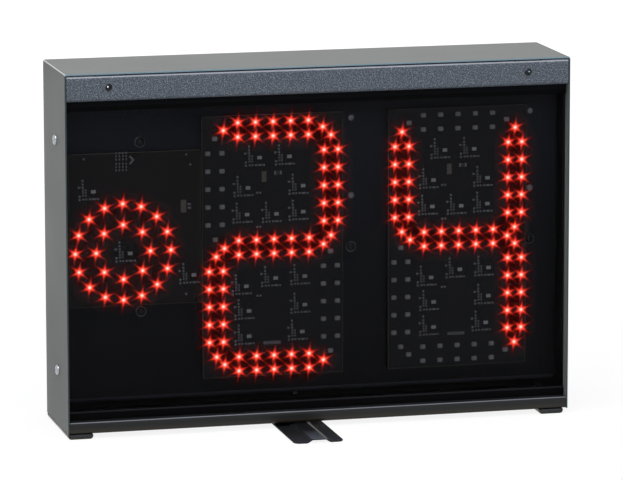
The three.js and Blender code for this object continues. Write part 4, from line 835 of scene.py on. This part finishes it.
class SHOTCLOCK_OT_painted_sheets(bpy.types.Operator):
    """Paints the folded sheets of the case and rounds their edges"""

    bl_idname = "shotclock.painted_sheets"
    bl_label = "Painted sheets"

    def execute(self, context):
        looks = context.scene.shot_clock.case
        edge = looks.sheet_edge / mm
        coat = (looks.shell_colour, looks.bend_highlight_colour)
        shell = powder_coat("powder_coated_grey_black_inside", *coat)
        corner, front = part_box("case_shell")[1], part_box("smoked_window")[0].y
        inner = sheet * 0.9 * mm
        blacken_inside(shell, looks.inside_colour, corner.x - inner, corner.z - inner, front)
        # Painted shade on the walls' front edges and a painted highlight on the top sheet's front edge
        paint_front_edge_light(shell, "#4a585b", "#a9cbdb", corner.z - sheet * 1.2 * mm)
        dress(["case_shell"], shell, 0.3)
        dress(["rear_cover"], powder_coat("powder_coated_grey", *coat), edge)
        enamel = semi_gloss_enamel("dark_stoving_enamel", looks.tray_colour, "#8d909c")
        # Painted light low on the lip: a brownish tone, as from light bounced up from below
        lip = box_mm("bottom_tray")[0].z
        tint_by_height(enamel, "#3a362e", lip + 6, lip + 2.5)
        dress(["bottom_tray"], enamel, edge)
        channels = ("left_foot_channel", "right_foot_channel")
        dress(channels, semi_gloss_enamel("olive_stoving_enamel", "#45433b", "#55524a"), 0.2)
        self.end_plugs(channels)
        rail = leather_grain_coat("leather_grain_powder_coat", looks.rail_colour, looks.rail_light,
                                  looks.grain_width)
        # Painted highlight along the rail's top bend
        paint_bend_highlights(rail, "#e6eaf8", 0.94, 0.84)
        dress(["top_front_rail"], rail, edge)
        self.swivel_foot(looks)
        panel = satin_paint("satin_black_paint", looks.panel_colour)
        # A painted highlight just above the panel's lower bend, where the bend catches the light
        bend = box_mm("display_panel")[0].z
        tint_by_height(panel, "#404148", bend + 4.6, bend + 4.0)
        dress(["display_panel"], panel, edge)
        return {"FINISHED"}

    def swivel_foot(self, looks):
        """Coarser, duller grain; painted light on the crown, whose right edge is 6.5 mm off its middle."""
        foot = leather_grain_coat("worn_leather_grain_coat", looks.foot_colour, looks.foot_light,
                                  looks.grain_width * 1.5, 0.15, 0.12)
        low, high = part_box("swivel_foot")
        # Painted light along the foot and its crown, and a painted highlight on the crown's right edge
        paint_foot_light(foot, high.z - 0.3 * mm, high.y, (low.x + high.x) / 2 + 6.5 * mm)
        dress(["swivel_foot"], foot, looks.sheet_edge / mm)

    def end_plugs(self, channels):
        """Pressed-in plugs that close both ends of each foot channel."""
        rubber = moulded_plastic("nitrile_rubber", "#2b2e32", 0.6)
        for node in channels:
            low, high = box_mm(node)[:2]
            plugs = [block((low.x + 1.7, start, low.z + 1.6), (high.x - 1.7, start + 4.6, high.z - 0.1), 0.2)
                     for start in (low.y + 0.4, high.y - 5)]
            make_piece(node + "_plugs", [(plug, rubber) for plug in plugs])


class SHOTCLOCK_OT_window(bpy.types.Operator):
    """Makes the smoked window and the channels that hold it"""

    bl_idname = "shotclock.window"
    bl_label = "Smoked window"

    def execute(self, context):
        looks = context.scene.shot_clock.display
        dress(["smoked_window"], smoked_acrylic("smoked_acrylic", looks.window_tint))
        # A painted highlight runs along the bottom channel's lips; the top channel is painted lighter, with
        # painted shade along its lips
        low, high = box_mm("window_bottom_channel")[1].z, box_mm("window_top_channel")[0].z
        for level, own, lips, start, end in (("bottom", "#08080a", "#2e2e32", low - 1.3, low - 0.6),
                                             ("top", "#1a1b1e", "#0b0b0d", high + 4.4, high + 3.6)):
            channel = moulded_plastic("extruded_pvc_" + level, own, 0.7, 0.05)
            tint_by_height(channel, lips, start, end)
            dress([f"window_{level}_channel"], channel, 0.25)
        return {"FINISHED"}


class SHOTCLOCK_OT_led_boards(bpy.types.Operator):
    """Builds the two digit boards and the ring board, and the glare of their lit LEDs"""

    bl_idname = "shotclock.led_boards"
    bl_label = "LED boards"

    def execute(self, context):
        looks = context.scene.shot_clock.display
        solder_mask("solder_mask_black", looks.mask_colour)
        solder_mask("solder_mask_brown_black", looks.ring_mask_colour)
        led_flare("led_flare", looks.lit_colour)
        # A lit die under clear silicone: it glows
        lit = begin_finish("led_lit_die", "#ff7a50", Roughness=0.3, IOR=1.41)
        feed(lit, Emission_Color=looks.lit_colour, Emission_Strength=6.0)
        flares(looks, "ring_flares", *ring_board(looks))
        flares(looks, "tens_flares", *digit_board(looks, "tens_board", 26.5, looks.tens_digit))
        flares(looks, "units_flares", *digit_board(looks, "units_board", 42.5, looks.units_digit))
        return {"FINISHED"}


class SHOTCLOCK_OT_fasteners(bpy.types.Operator):
    """Builds the screws, rivets and posts that show"""

    bl_idname = "shotclock.fasteners"
    bl_label = "Fasteners"

    def execute(self, context):
        nickel, dark = "nickel_plated_steel", "blackened_steel"
        pan = screw_head([(0, -4), (1.9, -4), (1.9, 0.02), (4.65, 0.02), (4.8, 0.25), (4.75, 1.2),
                          (4.4, 1.9), (3.6, 2.4), (2.95, 2.55), (2.9, 2.6)], cross_recess(2.5, 1.25), 1.4)
        for way, name, numbers in (((-1, 0, 0), "left_side_screw_", ("lower", "upper")),
                                   ((1, 0, 0), "right_side_screw_", ("lower", "upper")),
                                   (to_back, "rear_cover_screw_", range(1, 7))):
            for number in numbers:
                self.head(f"{name}{number}", way, 2.6, [(pan, nickel)])
        sunk = [(0, -5), (1.5, -5), (1.5, -1.3), (3.0, -0.12)]
        raised = screw_head(sunk + [(3.0, 0.1), (2.85, 0.5), (2.5, 0.9), (2.05, 1.2), (1.95, 1.25)],
                            cross_recess(1.7, 0.8), 0.9)
        # A small steel peg at one side of each rail screw's recess paints a glint: bright on the left screw,
        # dim on the right
        spot = turned([(0, 1.7), (0.45, 1.62), (0.75, 1.4), (0.8, 0.6)], 16)
        for side, aside, up, finish in (("left", -1.1, 0.8, "rubbed_bright_steel"),
                                        ("right", 0.6, 0.7, nickel)):
            self.head(side + "_rail_screw", to_front, 0, [(raised, dark), (spot, finish, (aside, 0, up))],
                      "dark_metal")
        level = screw_head(sunk + [(2.9, 0), (2.6, 0)], cross_recess(1.9, 0.9), 0.9)
        for number in range(1, 5):
            self.head(f"foot_screw_{number}", (0, 0, -1), 0, [(level, nickel)])
        arc = [(4.4 * math.cos(math.radians(turn)), 0.8 + 3.6 * math.sin(math.radians(turn)))
               for turn in range(0, 61, 6)]
        dome = screw_head([(0, -6), (1.9, -6), (1.9, 0), (4.1, 0), (4.4, 0.8)] + arc,
                          circle(1.8, count=6), 2)
        washer = turned([(4.0, 0.1), (4.0, 1.1), (4.3, 1.35), (4.8, 1.25), (5.1, 0.8), (5.1, 0), (4.0, 0),
                         (4.0, 0.1)])
        for node in ("power_supply_screw_1", "power_supply_screw_2", "horn_screw_1", "horn_screw_2"):
            self.head(node, to_front, 4.4, [(dome, dark), (washer, "dark_zinc_plate")], "dark_metal")
        dress([f"control_board_post_{number}" for number in range(1, 5)], "darker_zinc_plate", 0.4)
        dress(["swivel_foot_rivet"], nickel, 0.2)
        return {"FINISHED"}

    def head(self, node, way, height, shapes, slot="bright_screw"):
        """A head in place of a screw: shapes that face a way, seated at a height under the screw's end."""
        low, high, middle = box_mm(node)
        seat = middle + Vector([part * (size / 2 - height) for part, size in zip(way, high - low)])
        placed = [(shape, finish, [facing(seat + Vector(*shift), way)]) for shape, finish, *shift in shapes]
        make_piece(node + "_head", placed, stands_for=node)


class SHOTCLOCK_OT_inner_pieces(bpy.types.Operator):
    """Gives the pieces behind the panel their finishes"""

    bl_idname = "shotclock.inner_pieces"
    bl_label = "Inner pieces"

    def execute(self, context):
        dress(("power_supply_chassis", "power_supply_cover", "horn_strap"), "zinc_plated_steel", 0.3)
        dress(("left_panel_bracket", "right_panel_bracket"), "satin_black_paint", 0.3)
        dress(["control_board"], "solder_mask_black", 0.1)
        dress(["power_supply_board"], "solder_mask_green", 0.1)
        dress(["horn"], moulded_plastic("moulded_abs_black", "#1a1b1e"), 0.3)
        dress(("mains_lead", "supply_lead", "data_lead", "data_link_lead", "horn_lead"), "pvc_sheath")
        dress(("tens_ribbon", "ring_ribbon"), "pvc_ribbon")
        return {"FINISHED"}


class SHOTCLOCK_OT_rear_fittings(bpy.types.Operator):
    """Dresses the power inlet, fuse drawer, rocker and data sockets, and adds their contacts and ribs"""

    bl_idname = "shotclock.rear_fittings"
    bl_label = "Rear fittings"

    def execute(self, context):
        glossy = moulded_plastic("glossy_nylon_black", "#141416", 0.22)
        dress(("power_inlet", "fuse_drawer"), "moulded_abs_black", 0.3)
        dress(["power_rocker"], glossy, 0.4)
        self.inlet_contacts()
        self.finger_ribs(glossy)
        sockets = ("data_socket_in", "data_socket_out")
        dress(sockets, "satin_nickel_die_cast", 0.2)
        for node in sockets:
            self.socket_insert(node)
        self.blank_plate()
        return {"FINISHED"}

    def inlet_contacts(self):
        """Plated sleeves over the three blades of the inlet."""
        middle = box_mm("power_inlet")[2].x
        sleeve = prism(rounded(2.12, 4.12, 0.3), 39.2, 49.1, 0.35, 2)
        blades = [(middle + aside, 0, up) for aside, up in ((-7, 44.5), (0, 48.5), (7, 44.5))]
        make_piece("inlet_contacts", [(sleeve, "nickel_plated_steel", blades)])

    def finger_ribs(self, glossy):
        """Ribs that the finger catches on the fuse drawer's grip and on the rocker's lower half."""
        high, middle = box_mm("fuse_drawer")[1:]
        spots = [(middle.x + index * 2.5, high.y - 0.1, high.z - 1) for index in range(-3, 4)]
        rib = block((-0.4, 0, -0.9), (0.4, 0.4, 0.9), 0.1)
        make_piece("fuse_drawer_ribs", [(rib, "moulded_abs_black", spots)], "drawer")
        # The rocker's pivot, and how far its lower half leans out when the switch is on
        pivot = Matrix.Translation((box_mm("power_rocker")[2].x, 53.5, 80.5))
        lean = Matrix.Rotation(math.radians(8), 4, "X")
        lines = [pivot @ lean @ Matrix.Translation((0, 1.2 + share * 1.2, -6.3 * share))
                 for share in (0.3, 0.5, 0.7)]
        rib = block((-7, -0.3, -0.25), (7, 0.3, 0.25), 0.1)
        make_piece("power_rocker_ribs", [(rib, glossy, lines)], "rocker")

    def socket_insert(self, node):
        """The insulator at the bottom of a data socket's bore, with gilt sleeves over its five pins."""
        middle = box_mm(node)[2]
        base = Vector((middle.x, bore_floor, middle.z))
        pins = circle(4.5, count=8)[4:] + [(4.5, 0)]
        disc = pierced(circle(7.9, count=40), [circle(0.85, pin, 16) for pin in pins], 0, 0.9)
        sleeve = turned([(0, 0), (0.78, 0), (0.78, 6.6), (0.5, 7.1), (0, 7.2)], 16)
        places = [facing(base + Vector((u, 0, v)), to_back) for u, v in pins]
        make_piece(node + "_insert", [(disc, "moulded_abs_black", [base]), (sleeve, "gold_plate", places)])

    def blank_plate(self):
        """A bare aluminium plate with four rivets, where such clocks carry their rating."""
        x, z, face = -60, 62, rear_face + 0.4
        plate = prism(rounded(64, 34, 2, (x, z)), rear_face + 0.02, face, 0.1, 2)
        rivet = turned([(0, 0.5), (0.8, 0.4), (1.3, 0)], 16)
        places = [facing((x + u * 28.5, face, z + v * 13.5), to_back) for u in (-1, 1) for v in (-1, 1)]
        foil = "anodised_aluminium"
        make_piece("blank_rating_plate", [(plate, foil), (rivet, foil, places)])


class SHOTCLOCK_OT_stage(bpy.types.Operator):
    """Sets the floor, lamp, world and camera"""

    bl_idname = "shotclock.stage"
    bl_label = "Stage"

    def execute(self, context):
        looks = context.scene.shot_clock.stage
        scene = context.scene
        mesh = bpy.data.meshes.new("floor")
        half = 14
        corners = [(-half, -half, 0), (half, -half, 0), (half, half, 0), (-half, half, 0)]
        mesh.from_pydata(corners, [], [(0, 1, 2, 3)])
        mesh.materials.append(self.floor_finish(looks))
        put("floor", mesh)
        self.world(scene)
        # A soft square lamp over the front, turned to the case
        light = bpy.data.lights.new("key", "AREA")
        light.size, light.energy = 2.2, 36
        place, target = Vector((-0.6, -1.0, 2.8)), Vector((0, 0, 0.15))
        put("key", light).matrix_world = facing(place, place - target)
        camera = bpy.data.cameras.new("camera")
        camera.lens, camera.sensor_width, camera.clip_end = looks.lens, 36, 60
        scene.camera = put("camera", camera)
        scene.camera.matrix_world = (Matrix.Translation(looks.camera_place)
                                     @ Matrix.Rotation(-looks.camera_turn, 4, "Z")
                                     @ Matrix.Rotation(math.pi / 2 - looks.camera_tilt, 4, "X")
                                     @ Matrix.Rotation(looks.camera_roll, 4, "Z"))
        scene.view_settings.view_transform = "Standard"
        return {"FINISHED"}

    def seen(self, owner):
        """1 for what the camera, a mirror or glass sees, else 0."""
        path = add_node(owner, "LightPath").outputs
        either = add_node(owner, "Math", [path["Is Camera Ray"], path["Is Glossy Ray"]], "MAXIMUM")
        return add_node(owner, "Math", [either, path["Is Transmission Ray"]], "MAXIMUM")

    def floor_finish(self, looks):
        """Matt white board: it takes the object's shadow, and reads white where it's open."""
        board = new_finish("matt_white_board")
        matt = add_node(board, "BsdfDiffuse", [looks.floor_colour])
        # The lamp reaches only the floor near the case, so farther away the lift alone makes it white
        place = add_node(board, "TexCoord").outputs["Object"]
        away = add_node(board, "VectorMath", [place], "LENGTH")
        white = add_node(board, "MapRange", [away, 0.5, 2.0, looks.floor_lift])
        lift = add_node(board, "Math", [self.seen(board), white], "MULTIPLY")
        light = add_node(board, "Emission", {"Strength": lift})
        return show(board, add_node(board, "AddShader", [matt, light]))

    def world(self, scene):
        """Even light from all round, with a white background where it is seen."""
        world = scene.world = bpy.data.worlds.new("studio")
        world.use_nodes = True
        nodes = world.node_tree.nodes
        even = nodes["Background"]
        link((0.97, 0.985, 1, 1), even.inputs["Color"])
        link(0.44, even.inputs["Strength"])
        white = add_node(world, "Background", ["#ffffff", 1.0])
        mix = add_node(world, "MixShader", [self.seen(world), even, white])
        link(mix, nodes["World Output"].inputs["Surface"])


class SHOTCLOCK_PT_panel(bpy.types.Panel):
    """Lists the steps and what a user may change."""

    bl_label = "Shot clock"
    bl_space_type = "VIEW_3D"
    bl_region_type = "UI"
    bl_category = "Shot clock"

    def draw(self, context):
        looks = context.scene.shot_clock
        for group in (looks.case, looks.display, looks.stage):
            column = self.layout.column()
            for name in type(group).__annotations__:
                column.prop(group, name)
        for step in steps:
            self.layout.operator(step.bl_idname)


steps = (SHOTCLOCK_OT_stage, SHOTCLOCK_OT_painted_sheets, SHOTCLOCK_OT_window, SHOTCLOCK_OT_led_boards,
         SHOTCLOCK_OT_fasteners, SHOTCLOCK_OT_inner_pieces, SHOTCLOCK_OT_rear_fittings)
classes = (CaseLooks, DisplayLooks, StageLooks, ShotClockLooks) + steps + (SHOTCLOCK_PT_panel,)


def register():
    for each in classes:
        bpy.utils.register_class(each)
    bpy.types.Scene.shot_clock = bpy.props.PointerProperty(type=ShotClockLooks, name="Shot clock",
                                                           description="Looks of the shot clock")


def unregister():
    del bpy.types.Scene.shot_clock
    for each in reversed(classes):
        bpy.utils.unregister_class(each)


def main():
    register()
    for step in steps:
        family, name = step.bl_idname.split(".")
        if getattr(getattr(bpy.ops, family), name)() != {"FINISHED"}:
            raise RuntimeError(f"{step.bl_label} did not finish")


if __name__ == "__main__":
    main()
